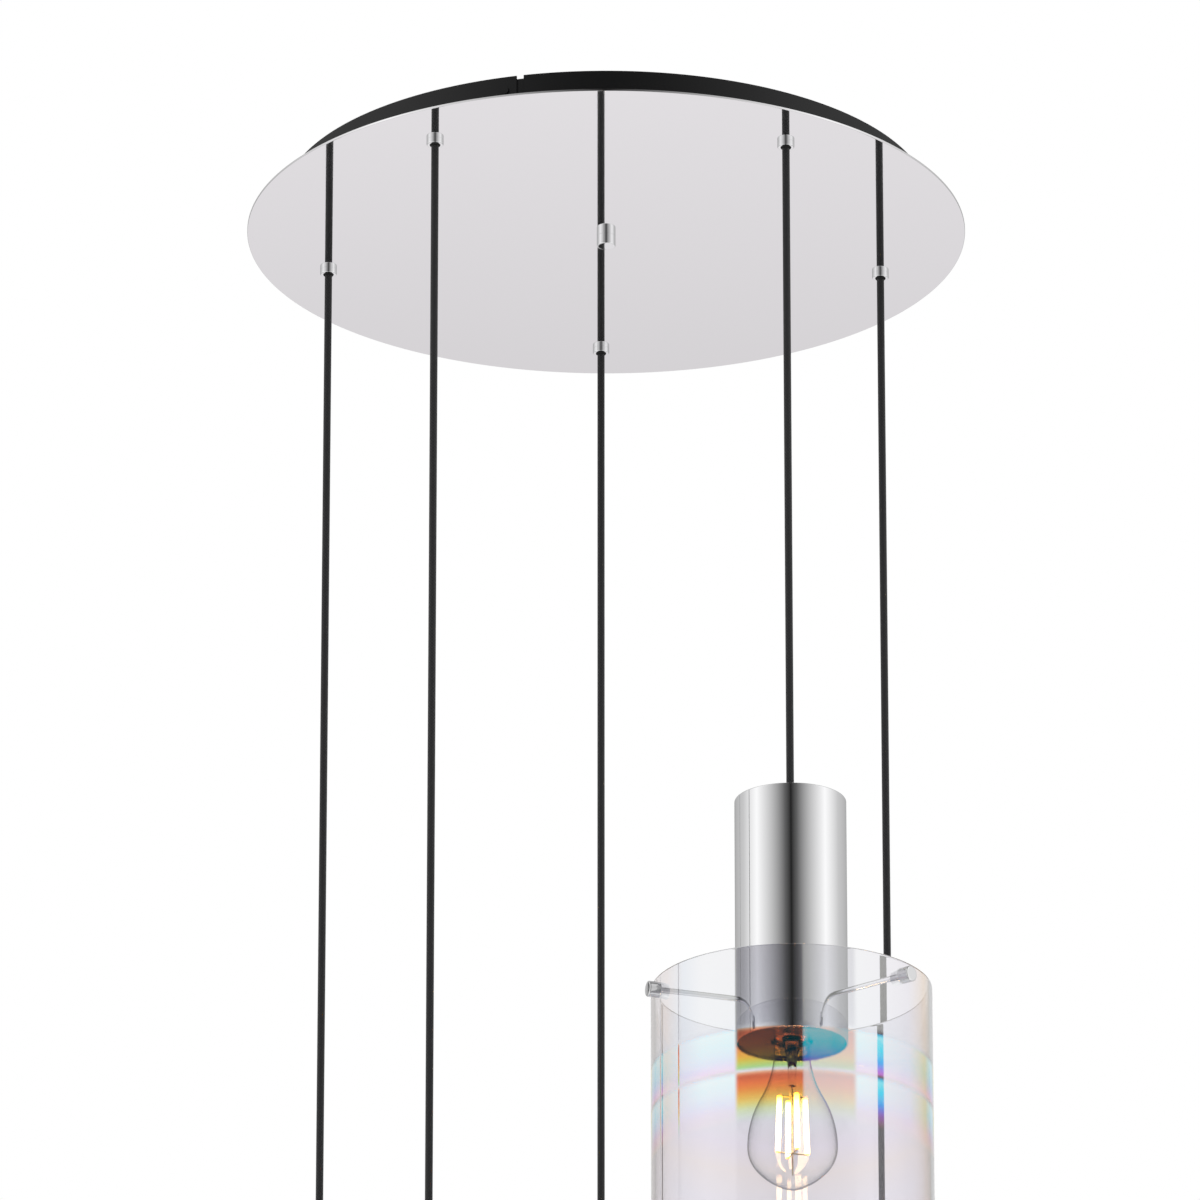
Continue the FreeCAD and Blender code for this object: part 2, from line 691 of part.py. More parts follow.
def bulb_glass():
    """The thin envelope of the bulb, from its cap down to its round end."""
    outside = bulb_outline(0)
    inside = bulb_outline(size("bulb_wall"))
    cap = -size("bulb_cap_length")
    tip = -size("bulb_length")
    wall = size("bulb_wall")
    edges = [curve.toShape() for curve in outside + inside]
    edges.append(Part.LineSegment(Vector(size("bulb_neck_radius"), 0, cap),
                                  Vector(size("bulb_neck_radius") - wall, 0, cap)).toShape())
    edges.append(Part.LineSegment(Vector(0, 0, tip), Vector(0, 0, tip + wall)).toShape())
    section = Part.Face(Part.Wire(Part.__sortEdges__(edges)))
    feature = doc.addObject("Part::Feature", "bulb_glass")
    feature.Shape = section.revolve(Vector(0, 0, 0), Vector(0, 0, 1), 360)
    return feature, bulb_top()


def bulb_core():
    """The metal cap, the glass stem under it, and the filament sticks on their wires."""
    cap = turned("bulb_cap", [
        ("0", "0"),
        ("bulb_contact_radius", "0"),
        ("bulb_cap_radius", "bulb_cap_cone"),
        ("bulb_cap_radius", "bulb_cap_length"),
        ("0", "bulb_cap_length"),
    ])
    stem = turned("bulb_stem", [
        ("0", "bulb_cap_length"),
        ("stem_top_radius", "bulb_cap_length"),
        ("stem_tip_radius", "bulb_cap_length + stem_length"),
        ("0", "bulb_cap_length + stem_length"),
    ])
    base = -size("bulb_cap_length")
    wire = size("wire_radius")
    top, foot = base - size("stick_top_drop"), base - size("stick_foot_drop")
    stem_tip = Vector(0, 0, base - size("stem_length"))
    solids = [Part.makeCylinder(wire, size("wire_length"), stem_tip, Vector(0, 0, -1))]
    for number in range(STICKS):
        angle = math.radians(FIRST_STICK_ANGLE + 360 / STICKS * number)
        outward = Vector(math.cos(angle), math.sin(angle), 0)
        high = outward * size("stick_top_circle") + Vector(0, 0, top)
        low = outward * size("stick_foot_circle") + Vector(0, 0, foot)
        solids.append(Part.makeCylinder(size("stick_radius"), (low - high).Length, high, low - high))
        solids.append(Part.makeCylinder(wire, size("stick_top_circle"), Vector(0, 0, top), outward))
        solids.append(Part.makeCylinder(wire, size("stick_foot_circle"), Vector(0, 0, foot), outward))
    cage = doc.addObject("Part::Feature", "filament_cage")
    cage.Shape = solids[0].multiFuse(solids[1:])
    return group("bulb_inside", [cap, stem, cage]), bulb_top()


PIECES = {
    "holder_cup": holder_cup,
    "cord_clamp": cord_clamp,
    "closing_pan": closing_pan,
    "lampholder": lampholder,
    "holder_screws": holder_screws,
    "shade_screws": shade_screws,
    "glass_shade": glass_shade,
    "bulb_glass": bulb_glass,
    "bulb_core": bulb_core,
}

ceiling_bracket()
terminal_block()
screw_hole = band_drill()
canopy_band(screw_hole)
band_joint_plate(screw_hole)
band_screw()
face_plate()
centre_knob()
cord_grips()
grip_grommets()
grip_nuts()

drawn = {name: make() for name, make in PIECES.items()}
for number in range(1, PENDANTS + 1):
    angle = f"first_grip_angle + {(number - 1) * PENDANT_PITCH}"
    top = f"-canopy_height - cord_drop_{number}"
    for name, (piece, height) in drawn.items():
        node(f"{name}_{number}", copy_at(f"{name}_{number}", piece, "grip_circle", angle, f"{height} + {top}",
                                         turn="shade_screw_angle"))
    upper_end = "cord_entry - grip_head_height - grommet_proud - canopy_height"
    lower_end = f"clamp_head_height - cord_entry + {top}"
    node(f"cord_{number}",
         rod(f"cord_{number}", "cord_radius", upper_end, f"{upper_end} - ({lower_end})",
             f"grip_circle * cos(({angle}) * 1 deg)", f"grip_circle * sin(({angle}) * 1 deg)"))

doc.recompute()
for item in doc.Objects:
    if any(state in ("Invalid", "Error") for state in item.State):
        raise RuntimeError(f"{item.Label} failed: {item.State}")
os.makedirs("parts", exist_ok=True)
for name, piece in sorted(nodes.items()):
    shape = piece.Shape
    if shape.isNull() or not shape.isValid() or not shape.Solids:
        raise RuntimeError(f"{name} has no sound shape")
    shape.exportStep(f"parts/{name}.step")
    box = shape.BoundBox
    print(f"{name}: {len(shape.Solids)} solids, {shape.Volume:.0f} mm3, z {box.ZMin:.1f} to {box.ZMax:.1f}")
print(len(nodes), "nodes")
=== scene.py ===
"""Cluster pendant: the visible pieces of the light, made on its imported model.

Blender's lengths are in metres. Outlines are written in millimetres, as (radius, height) pairs.
"""

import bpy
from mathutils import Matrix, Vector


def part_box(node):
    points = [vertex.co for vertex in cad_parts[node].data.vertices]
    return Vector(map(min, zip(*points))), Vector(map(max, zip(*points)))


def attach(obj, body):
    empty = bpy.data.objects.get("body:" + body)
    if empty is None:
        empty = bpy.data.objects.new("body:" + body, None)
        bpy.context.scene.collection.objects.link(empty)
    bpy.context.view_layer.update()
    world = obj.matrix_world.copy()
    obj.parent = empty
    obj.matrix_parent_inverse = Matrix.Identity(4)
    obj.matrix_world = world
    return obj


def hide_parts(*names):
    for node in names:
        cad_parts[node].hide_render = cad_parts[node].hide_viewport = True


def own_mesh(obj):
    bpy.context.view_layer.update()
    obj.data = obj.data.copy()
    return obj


bl_info = {
    "name": "Cluster Pendant",
    "version": (1, 0, 0),
    "blender": (4, 5, 0),
    "location": "View3D > Sidebar > Pendant",
    "description": "Makes a mirror canopy with coated glass cylinders that hang from it on fabric cords",
    "category": "Add Mesh",
}

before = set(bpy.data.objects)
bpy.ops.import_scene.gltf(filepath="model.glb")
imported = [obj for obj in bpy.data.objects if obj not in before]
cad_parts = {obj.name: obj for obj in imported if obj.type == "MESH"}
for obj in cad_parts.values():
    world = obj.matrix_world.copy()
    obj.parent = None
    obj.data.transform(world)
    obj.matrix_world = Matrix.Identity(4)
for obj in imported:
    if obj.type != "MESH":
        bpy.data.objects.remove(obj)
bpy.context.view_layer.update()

import math

import bpy
import numpy as np
from bpy.props import FloatProperty, FloatVectorProperty, IntProperty, PointerProperty
from bpy.types import Operator, Panel, PropertyGroup
from mathutils import Vector

MM = 0.001
PENDANTS = range(1, 6)


def linear(code):
    """A colour written as sRGB hex, as linear red, green, blue and an alpha of 1."""
    parts = [int(code[place:place + 2], 16) / 255 for place in (1, 3, 5)]
    return (*(part / 12.92 if part <= 0.04045 else ((part + 0.055) / 1.055) ** 2.4 for part in parts), 1.0)


def colour(name, description, code):
    """A colour property with its default in sRGB hex."""
    return FloatVectorProperty(name=name, description=description, default=linear(code)[:3], subtype="COLOR",
                               min=0, max=1)


# Sizes and colours

class StageSettings(PropertyGroup):
    """The camera, the floor and the light."""
    camera_distance: FloatProperty(
        name="Camera distance", description="From the canopy's middle, level with the ceiling",
        default=7.5, unit="LENGTH")
    camera_side: FloatProperty(
        name="Camera side", description="Camera to the right of the canopy's middle", default=-0.0046,
        unit="LENGTH")
    camera_drop: FloatProperty(
        name="Camera drop", description="Camera below the ceiling", default=3.239, unit="LENGTH")
    camera_pitch: FloatProperty(
        name="Camera pitch", description="Upward tilt of the camera", default=math.radians(21.27),
        subtype="ANGLE")
    camera_lens: FloatProperty(
        name="Lens", description="Focal length on a 36 mm sensor", default=327.5, unit="CAMERA")
    floor_drop: FloatProperty(
        name="Floor drop", description="Floor below the ceiling", default=3.4, unit="LENGTH")
    floor_reach: FloatProperty(
        name="Floor reach", description="From the middle to a side of the floor", default=45, unit="LENGTH")
    floor_colour: colour("Floor colour", "Pale floor", "#F0EFED")
    room_level: FloatProperty(
        name="Room level", description="Light from all round on matt surfaces, where 1 is white",
        default=0.78)
    lamp_power: FloatProperty(
        name="Lamp power", description="Large soft lamp beside the camera", default=90, unit="POWER")


class CanopySettings(PropertyGroup):
    """The metal round the ceiling."""
    chrome_colour: colour("Chrome", "Plated pieces", "#F6F6F7")
    mirror_colour: colour("Mirror", "Plate under the ceiling", "#F3F2F3")
    pan_colour: colour("Dark plate", "Pans under the cups", "#505053")
    paint_colour: colour("Paint", "Band between the ceiling and the plate", "#0B0B0C")
    zinc_colour: colour("Zinc", "Hidden steel pieces and screws", "#C4C6C8")
    bore_radius: FloatProperty(
        name="Plate bore", description="Radius of the hole for the stud", default=4.3 * MM, unit="LENGTH")
    band_wall: FloatProperty(
        name="Band wall", description="Thickness of the band", default=1.2 * MM, unit="LENGTH")
    slit_angle: FloatProperty(
        name="Slit angle", description="Plan angle of the gap in the band", default=math.radians(254.9),
        subtype="ANGLE")
    slit_width: FloatProperty(
        name="Slit width", description="Gap between the ends of the band", default=5.3 * MM, unit="LENGTH")


class CordSettings(PropertyGroup):
    """The fabric cords."""
    thread_colour: colour("Thread", "Raised threads of the braid", "#232325")
    # The gap colour is painted shade in the hollows between the raised threads, which are the same polyester
    gap_shade_colour: colour("Gap", "Between the threads", "#060607")
    diameter: FloatProperty(
        name="Cord diameter", description="Over the braid", default=5.5 * MM, unit="LENGTH")
    threads: IntProperty(
        name="Threads", description="Threads that cross a ring round the cord, in each direction", default=8)
    pitch: FloatProperty(
        name="Braid pitch", description="Crossing to crossing along the cord", default=2.4 * MM,
        unit="LENGTH")


class GlassSettings(PropertyGroup):
    """The coated cylinders."""
    wall: FloatProperty(
        name="Glass wall", description="Thickness of the cylinder", default=3 * MM, unit="LENGTH")
    film_end: FloatProperty(
        name="Coating end", description="Upper rim to the lower end of the coating", default=0.131,
        unit="LENGTH")
    film_strength: FloatProperty(
        name="Coating strength", description="Thickness of the coating, where 1 is as made", default=1.0,
        min=0, max=2)


class BulbSettings(PropertyGroup):
    """The bulbs."""
    glow_colour: colour("Glow", "Light of the filaments", "#FFD9A0")
    glow_strength: FloatProperty(name="Glow strength", description="Brightness of the filaments", default=12)
    thread_pitch: FloatProperty(
        name="Cap pitch", description="Pitch of the cap's thread", default=3.6 * MM, unit="LENGTH")
    thread_depth: FloatProperty(
        name="Thread depth", description="Depth of the cap's thread", default=1.1 * MM, unit="LENGTH")


# Sizes in millimetres that no box of the model gives. A drop is measured down from the bulb cap's foot.
KNOB_BORE, KNOB_FACE = 4.05, 3
GRIP_BORE, GRIP_SHANK, GRIP_HEAD = 3.8, 5, 6.25
GROMMET_BORE = 3.05
CUP_HOLE, CUP_WALL = 4.9, 1.2
CLAMP_BORE, CLAMP_SHANK, CLAMP_HEAD, CLAMP_RISE, CLAMP_DEPTH = 3.05, 4.8, 5.5, 5, 12
PAN_WALL, PAN_HOLE = 1.6, 15
SCREW_ANGLES = (80, 200, 320)
SCREW_SHANK, SCREW_HEAD = 2, 5.65
SCREW_START, SCREW_HEAD_START, SCREW_END = 34.1, 100.2, 109.1
BULB_RADIUS, BULB_NECK, BULB_WALL = 32, 12.9, 0.8
BULB_END_ARCS, BULB_END_TURN = (24.0, 50.0, 9.0, 0.0), 40
BULB_SHOULDER, CAP_FOOT, CAP_RADIUS = 104.0, 113.0, 13.2
STEM_TOP, STEM_FLARE, STEM_LENGTH, STEM_TIP = 2.5, 4.5, 36, 0.8
WIRE_RADIUS, STICK_RADIUS, FIRST_STICK_ANGLE = 0.5, 1.8, 17
STICK_TOP_CIRCLE, STICK_FOOT_CIRCLE = 9.5, 11
WIRE_TOP_DROP, WIRE_FOOT_DROP = 35, 102
STICK_TOP_DROP, STICK_FOOT_DROP = 44, 86
# Lengths in metres
CORD_ABOVE_GROMMET, CORD_ABOVE_CUP = 3 * MM, 2 * MM
LAMP_SIZE, LAMP_PLACE, LAMP_AIM = 3, (0.4, -5.2, 0.2), (0, 0, -0.7)
VIEW_REACH = 200


# Shapes

def rounded(corners, radii=0.0, steps=6):
    """A closed outline with eased corners.

    Each corner C becomes the parabola (1-t)^2 A + 2t(1-t) C + t^2 B, where A and B lie on its two sides at
    the corner's radius. One more point beyond A and B keeps the flats flat. The outline runs
    counter-clockwise, so that its turned surface faces outwards.
    """
    corners = np.asarray(corners, dtype=float)
    radii = np.broadcast_to(np.asarray(radii, dtype=float), len(corners))
    following = np.roll(corners, -1, axis=0)
    if np.sum(corners[:, 0] * following[:, 1] - following[:, 0] * corners[:, 1]) < 0:
        corners, radii = corners[::-1], radii[::-1]
    back = np.roll(corners, 1, axis=0) - corners
    ahead = np.roll(corners, -1, axis=0) - corners
    reach = [np.linalg.norm(side, axis=1, keepdims=True) for side in (back, ahead)]
    ease = radii[:, None]
    spare = np.minimum(0.3, np.minimum(*reach) / 4)
    t = np.linspace(0, 1, steps + 1)[None, :, None]
    first, last = corners + back / reach[0] * ease, corners + ahead / reach[1] * ease
    arc = (1 - t) ** 2 * first[:, None] + 2 * t * (1 - t) * corners[:, None] + t ** 2 * last[:, None]
    before = corners + back / reach[0] * (ease + spare)
    after = corners + ahead / reach[1] * (ease + spare)
    return np.concatenate([before[:, None], arc, after[:, None]], axis=1).reshape(-1, 2)


def turned(outline, segments, place=(0, 0, 0)):
    """The outline carried round the Z axis: x = r cos a, y = r sin a, z = h, then moved to a place."""
    angle = np.arange(segments) * (2 * math.pi / segments)
    radius, height = outline[:, :1] * MM, outline[:, 1:] * MM
    grid = np.stack([radius * np.cos(angle), radius * np.sin(angle), height + 0 * angle], axis=-1)
    return grid + np.asarray(place)


def aimed(grid, start, direction):
    """A grid drawn along +Z, turned so that +Z becomes the direction, and moved to the start."""
    turn = np.array(Vector((0, 0, 1)).rotation_difference(Vector(direction)).to_matrix())
    return grid @ turn.T + np.asarray(start)


def ended(grid):
    """The columns of an open grid between two more, each drawn together to the middle of its end."""
    first = np.broadcast_to(grid[:, :1].mean(axis=0, keepdims=True), grid[:, :1].shape)
    last = np.broadcast_to(grid[:, -1:].mean(axis=0, keepdims=True), grid[:, -1:].shape)
    return np.concatenate([first, grid, last], axis=1)


def skin(name, grids, marks=None):
    """One mesh from grids of points that close on themselves in both directions.

    Cell (i, j) has the corners (i, j), (i, j+1), (i+1, j+1) and (i+1, j). Points that coincide become one, so
    a row or column that is drawn together becomes a pole: its cells turn into triangles, or vanish. A mark is
    a number at each point of the grids, kept as an attribute.
    """
    points, quads, triangles, kept, count = [], [], [], [], 0
    for grid in grids:
        index = np.arange(grid.shape[0] * grid.shape[1]).reshape(grid.shape[:2])
        beside = np.roll(index, -1, axis=1)
        cells = np.stack([index, beside, np.roll(beside, -1, axis=0), np.roll(index, -1, axis=0)], axis=-1)
        flat = grid.reshape(-1, 3)
        _, first, same = np.unique(np.round(flat * 1e7), axis=0, return_index=True, return_inverse=True)
        cells = first[same.reshape(-1)][cells.reshape(-1, 4)]
        doubled = cells == np.roll(cells, -1, axis=1)
        whole, cut = cells[doubled.sum(axis=1) == 0], doubled.sum(axis=1) == 1
        corner = cells[cut][~doubled[cut]].reshape(-1, 3)
        used, place = np.unique(np.concatenate([whole.ravel(), corner.ravel()]), return_inverse=True)
        place = place.reshape(-1) + count
        quads.append(place[:whole.size].reshape(-1, 4))
        triangles.append(place[whole.size:].reshape(-1, 3))
        points.append(flat[used])
        kept.append(used)
        count += len(used)
    mesh = bpy.data.meshes.new(name)
    mesh.from_pydata(np.concatenate(points).tolist(), [],
                     np.concatenate(quads).tolist() + np.concatenate(triangles).tolist())
    mesh.shade_smooth()
    mesh.set_sharp_from_angle(angle=math.radians(32))
    for mark, values in (marks or {}).items():
        flat = np.concatenate([np.ravel(value)[used] for value, used in zip(values, kept)])
        mesh.attributes.new(mark, "FLOAT", "POINT").data.foreach_set("value", flat.astype(np.float32))
    return mesh


def unrolled(mesh, around, along):
    """A UV map from two marks: one turn round the piece is 1 across, and a metre along it is 1 up.

    The cells that cross the seam count on past 1 instead of falling back to 0.
    """
    size = len(mesh.vertices)
    across, up = np.empty(size, np.float32), np.empty(size, np.float32)
    mesh.attributes[around].data.foreach_get("value", across)
    mesh.attributes[along].data.foreach_get("value", up)
    corner = np.empty(len(mesh.loops), np.int32)
    start, total = np.empty(len(mesh.polygons), np.int32), np.empty(len(mesh.polygons), np.int32)
    mesh.loops.foreach_get("vertex_index", corner)
    mesh.polygons.foreach_get("loop_start", start)
    mesh.polygons.foreach_get("loop_total", total)
    across, up = across[corner], up[corner]
    highest = np.repeat(np.maximum.reduceat(across, start), total)
    across = np.where(highest - across > 0.5, across + 1, across)
    layer = mesh.uv_layers.new(name="UVMap")
    layer.data.foreach_set("uv", np.stack([across, up], axis=-1).astype(np.float32).ravel())


def pendant_place(number):
    """The axis of a pendant and the height of its cup's top, read from the model."""
    low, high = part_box(f"holder_cup_{number}")
    return np.array([(low.x + high.x) / 2, (low.y + high.y) / 2, high.z])


def piece(name, mesh, finish, body, slot, *nodes):
    """A mesh as a piece that rides on a body of the model and stands for some of its nodes."""
    made = bpy.data.objects.new(name, mesh)
    bpy.context.scene.collection.objects.link(made)
    mesh.materials.append(finish)
    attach(made, body)
    if nodes:
        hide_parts(*nodes)
    return made


def dress(node, finish):
    """A better material on a node of the model that stays as it is."""
    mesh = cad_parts[node].data
    mesh.materials.clear()
    mesh.materials.append(finish)


# Materials

def add(tree, kind, inputs=None, stops=None, **settings):
    """A node with its settings.

    An input is a value, another node's output, or another node, which then gives its first output. Stops
    fill a colour ramp.
    """
    node = tree.nodes.new(kind)
    for name, value in settings.items():
        setattr(node, name, value)
    for key, value in (inputs or {}).items():
        if isinstance(value, bpy.types.Node):
            value = value.outputs[0]
        if isinstance(value, bpy.types.NodeSocket):
            tree.links.new(value, node.inputs[key])
        else:
            node.inputs[key].default_value = value
    if stops:
        marks = node.color_ramp.elements
        marks[0].position, marks[0].color = stops[0]
        marks[1].position, marks[1].color = stops[-1]
        for place, tone in stops[1:-1]:
            marks.new(place).color = tone
    return node


def material(name, build):
    """The named material, made by its function when it is first asked for."""
    found = bpy.data.materials.get(name)
    if found is None:
        found = bpy.data.materials.new(name)
        found.use_nodes = True
        found.node_tree.nodes.clear()
        shader = build(found.node_tree)
        add(found.node_tree, "ShaderNodeOutputMaterial", {"Surface": shader})
    return found


def hazy_metal(tree, tint, noise, low, high, more=None):
    """Polished metal whose roughness drifts between two levels, in the pattern of a noise."""
    place = add(tree, "ShaderNodeTexCoord").outputs["Object"]
    haze = add(tree, "ShaderNodeTexNoise", {"Vector": place, **noise})
    rough = add(tree, "ShaderNodeMapRange",
                {"Value": haze, "From Min": 0.3, "From Max": 0.7, "To Min": low, "To Max": high})
    return add(tree, "ShaderNodeBsdfPrincipled",
               {"Base Color": (*tint, 1), "Metallic": 1.0, "Roughness": rough, **(more or {})})


def chrome(tree):
    """Nickel-chromium plate on polished steel: a hard mirror with the faintest haze and waviness."""
    place = add(tree, "ShaderNodeTexCoord").outputs["Object"]
    wave = add(tree, "ShaderNodeTexNoise", {"Vector": place, "Scale": 28, "Detail": 1})
    bump = add(tree, "ShaderNodeBump", {"Height": wave, "Strength": 0.05, "Distance": 0.0002})
    return hazy_metal(tree, bpy.context.scene.pendant_canopy.chrome_colour,
                      {"Scale": 90, "Detail": 5, "Roughness": 0.65}, 0.012, 0.05, {"Normal": bump})


def dark_plate(tree):
    """Black nickel plate on a pressed pan: a smoky mirror with a fine haze."""
    return hazy_metal(tree, bpy.context.scene.pendant_canopy.pan_colour,
                      {"Scale": 110, "Detail": 5, "Roughness": 0.65}, 0.05, 0.12)


def mirror(tree):
    """Polished stainless sheet: a flat mirror, a little greyer than chrome, with a trace of haze."""
    return hazy_metal(tree, bpy.context.scene.pendant_canopy.mirror_colour,
                      {"Scale": 14, "Detail": 6, "Roughness": 0.7}, 0.01, 0.035)


def black_paint(tree):
    """Powder-coated steel strip: satin black with a fine orange-peel grain, about 0.8 mm across."""
    place = add(tree, "ShaderNodeTexCoord").outputs["Object"]
    peel = add(tree, "ShaderNodeTexNoise", {"Vector": place, "Scale": 1250, "Detail": 2})
    bump = add(tree, "ShaderNodeBump",
               {"Height": peel, "Strength": 0.25, "Distance": 0.0001})
    rough = add(tree, "ShaderNodeMapRange", {"Value": peel, "To Min": 0.34, "To Max": 0.5})
    return add(tree, "ShaderNodeBsdfPrincipled", {
        "Base Color": (*bpy.context.scene.pendant_canopy.paint_colour, 1), "Specular IOR Level": 0.35,
        "Roughness": rough, "Normal": bump})


def zinc_steel(tree):
    """Zinc-plated mild steel: pale, slightly blue and cloudy, with soft reflections."""
    place = add(tree, "ShaderNodeTexCoord").outputs["Object"]
    cloud = add(tree, "ShaderNodeTexNoise", {"Vector": place, "Scale": 160, "Detail": 6, "Roughness": 0.7})
    pale = (*bpy.context.scene.pendant_canopy.zinc_colour, 1)
    tone = add(tree, "ShaderNodeValToRGB", {"Fac": cloud}, stops=[(0.3, linear("#A9ACB0")), (0.7, pale)])
    rough = add(tree, "ShaderNodeMapRange", {"Value": cloud, "To Min": 0.22, "To Max": 0.45})
    return add(tree, "ShaderNodeBsdfPrincipled", {
        "Base Color": tone, "Metallic": 1.0, "Roughness": rough})


def white_plastic(tree):
    """Moulded polyamide: off-white, with a fine matt grain of about half a millimetre."""
    place = add(tree, "ShaderNodeTexCoord").outputs["Object"]
    grain = add(tree, "ShaderNodeTexNoise", {"Vector": place, "Scale": 1800, "Detail": 3})
    tone = add(tree, "ShaderNodeValToRGB", {"Fac": grain},
               stops=[(0.3, linear("#DAD8D0")), (0.7, linear("#E8E6DF"))])
    bump = add(tree, "ShaderNodeBump",
               {"Height": grain, "Strength": 0.2, "Distance": 0.0001})
    return add(tree, "ShaderNodeBsdfPrincipled", {
        "Base Color": tone, "Roughness": 0.42, "Normal": bump})


def black_phenolic(tree):
    """Moulded phenolic resin: near black with a faint brown mottle and a dull shine."""
    place = add(tree, "ShaderNodeTexCoord").outputs["Object"]
    mottle = add(tree, "ShaderNodeTexNoise", {"Vector": place, "Scale": 420, "Detail": 4})
    tone = add(tree, "ShaderNodeValToRGB", {"Fac": mottle},
               stops=[(0.3, linear("#131212")), (0.7, linear("#241F1D"))])
    return add(tree, "ShaderNodeBsdfPrincipled", {"Base Color": tone, "Roughness": 0.3})


def black_rubber(tree):
    """Moulded rubber: matt black, with a dusty bloom on its grain."""
    place = add(tree, "ShaderNodeTexCoord").outputs["Object"]
    bloom = add(tree, "ShaderNodeTexNoise", {"Vector": place, "Scale": 900, "Detail": 4})
    tone = add(tree, "ShaderNodeValToRGB", {"Fac": bloom},
               stops=[(0.3, linear("#0D0D0D")), (0.75, linear("#242424"))])
    return add(tree, "ShaderNodeBsdfPrincipled", {"Base Color": tone, "Roughness": 0.75})


def braid(tree):
    """Braided polyester: two sets of threads cross on a slant, each raised where it lies on top.

    With a and b the phases of the two slants, the height is the root of |sin a| |sin b|; the gaps get painted
    shade.
    """
    look = bpy.context.scene.pendant_cord
    flat = add(tree, "ShaderNodeUVMap", uv_map="UVMap")
    spot = add(tree, "ShaderNodeSeparateXYZ", {"Vector": flat.outputs["UV"]})
    climb = add(tree, "ShaderNodeMath", {0: spot.outputs["Y"], 1: math.pi / look.pitch}, operation="MULTIPLY")
    sines = []
    for way in (1, -1):
        phase = add(tree, "ShaderNodeMath", {
            0: spot.outputs["X"], 1: way * math.pi * look.threads, 2: climb},
            operation="MULTIPLY_ADD")
        sine = add(tree, "ShaderNodeMath", {0: phase}, operation="SINE")
        sines.append(add(tree, "ShaderNodeMath", {0: sine}, operation="ABSOLUTE"))
    both = add(tree, "ShaderNodeMath", {0: sines[0], 1: sines[1]},
               operation="MULTIPLY")
    height = add(tree, "ShaderNodeMath", {0: both, 1: 0.5}, operation="POWER")
    # Painted shade: the colour runs from the gap colour in the hollows up to the thread colour on the raised
    # tops
    tone = add(tree, "ShaderNodeMix", {
        "Factor": height, "A": (*look.gap_shade_colour, 1), "B": (*look.thread_colour, 1)},
        data_type="RGBA")
    bump = add(tree, "ShaderNodeBump",
               {"Height": height, "Strength": 0.7, "Distance": 0.0004})
    return add(tree, "ShaderNodeBsdfPrincipled", {
        "Base Color": tone.outputs["Result"], "Roughness": 0.6, "Sheen Weight": 0.2,
        "Sheen Roughness": 0.4, "Normal": bump})


# The coating against the depth in millimetres below the rim: its optical path, which is its thickness times
# its index, in nanometres; and its index, which is that of the glass where the coating can't be seen. A stack
# of layers mirrors more than one layer of any real index, so the index here is as high as one layer needs.
COATING = (
    (0, 140, 2.5), (45, 140, 2.4), (57, 140, 2.2), (60, 140, 1.5), (60.3, 338, 1.5), (64, 336, 8.0),
    (74, 318, 8.0), (84, 290, 8.0), (90, 270, 6.0), (92.5, 266, 1.5), (92.8, 336, 1.5), (97, 334, 8.0),
    (106, 312, 8.0), (114, 294, 6.0), (121, 278, 3.5), (131, 265, 1.5),
)
# The faint tint that the coating gives to light that passes, against the same depth
TINTS = ((0, "#F0F2F4"), (60, "#ECF2F6"), (85, "#F0E8F4"), (105, "#F8ECE4"), (131, "#F2F0F4"))


def coated_glass(tree):
    """Clear glass with a vapour coating on its outside, whose colours run through the spectrum and fade out.

    The light that passes is red, orange, yellow and green from thick to thin, and the mirrored light is what
    is missing from it. Two such runs lie one below the other, under a plain silvered stretch at the rim.
    """
    look = bpy.context.scene.pendant_glass
    depth = add(tree, "ShaderNodeAttribute", attribute_name="coating_depth")
    down = add(tree, "ShaderNodeMath", {0: depth.outputs["Fac"], 1: look.film_end}, operation="DIVIDE",
               use_clamp=True)
    deepest = COATING[-1][0]

    def by_depth(column, most):
        """A ramp over the depth of one column of the table, as a share of the most in it."""
        return add(tree, "ShaderNodeValToRGB", {"Fac": down}, stops=[
            (row[0] / deepest, (*(row[column] / most,) * 3, 1)) for row in COATING])

    most_path, most_index = (max(row[column] for row in COATING) for column in (1, 2))
    route = add(tree, "ShaderNodeMath", {0: by_depth(1, most_path), 1: look.film_strength * most_path},
                operation="MULTIPLY")
    index = add(tree, "ShaderNodeMath", {0: by_depth(2, most_index), 1: most_index}, operation="MULTIPLY")
    film = add(tree, "ShaderNodeMath", {0: route, 1: index}, operation="DIVIDE")
    side = add(tree, "ShaderNodeNewGeometry")
    outside = add(tree, "ShaderNodeMath", {0: 1.0, 1: side.outputs["Backfacing"]}, operation="SUBTRACT")
    shown = add(tree, "ShaderNodeMath", {0: film, 1: outside},
                operation="MULTIPLY")
    tint = add(tree, "ShaderNodeValToRGB", {"Fac": down},
               stops=[(place / deepest, linear(tone)) for place, tone in TINTS])
    return add(tree, "ShaderNodeBsdfPrincipled", {
        "Base Color": tint, "Roughness": 0.0, "IOR": 1.5, "Transmission Weight": 1.0,
        "Thin Film Thickness": shown, "Thin Film IOR": index})


def clear_glass(tree):
    """Blown soda-lime glass: clear, with slow waves left by the blowing."""
    place = add(tree, "ShaderNodeTexCoord").outputs["Object"]
    wave = add(tree, "ShaderNodeTexNoise", {"Vector": place, "Scale": 45, "Detail": 1})
    bump = add(tree, "ShaderNodeBump",
               {"Height": wave, "Strength": 0.08, "Distance": 0.0005})
    return add(tree, "ShaderNodeBsdfPrincipled", {
        "Base Color": (1, 1, 1, 1), "Roughness": 0.0, "IOR": 1.4, "Transmission Weight": 1.0,
        "Normal": bump})


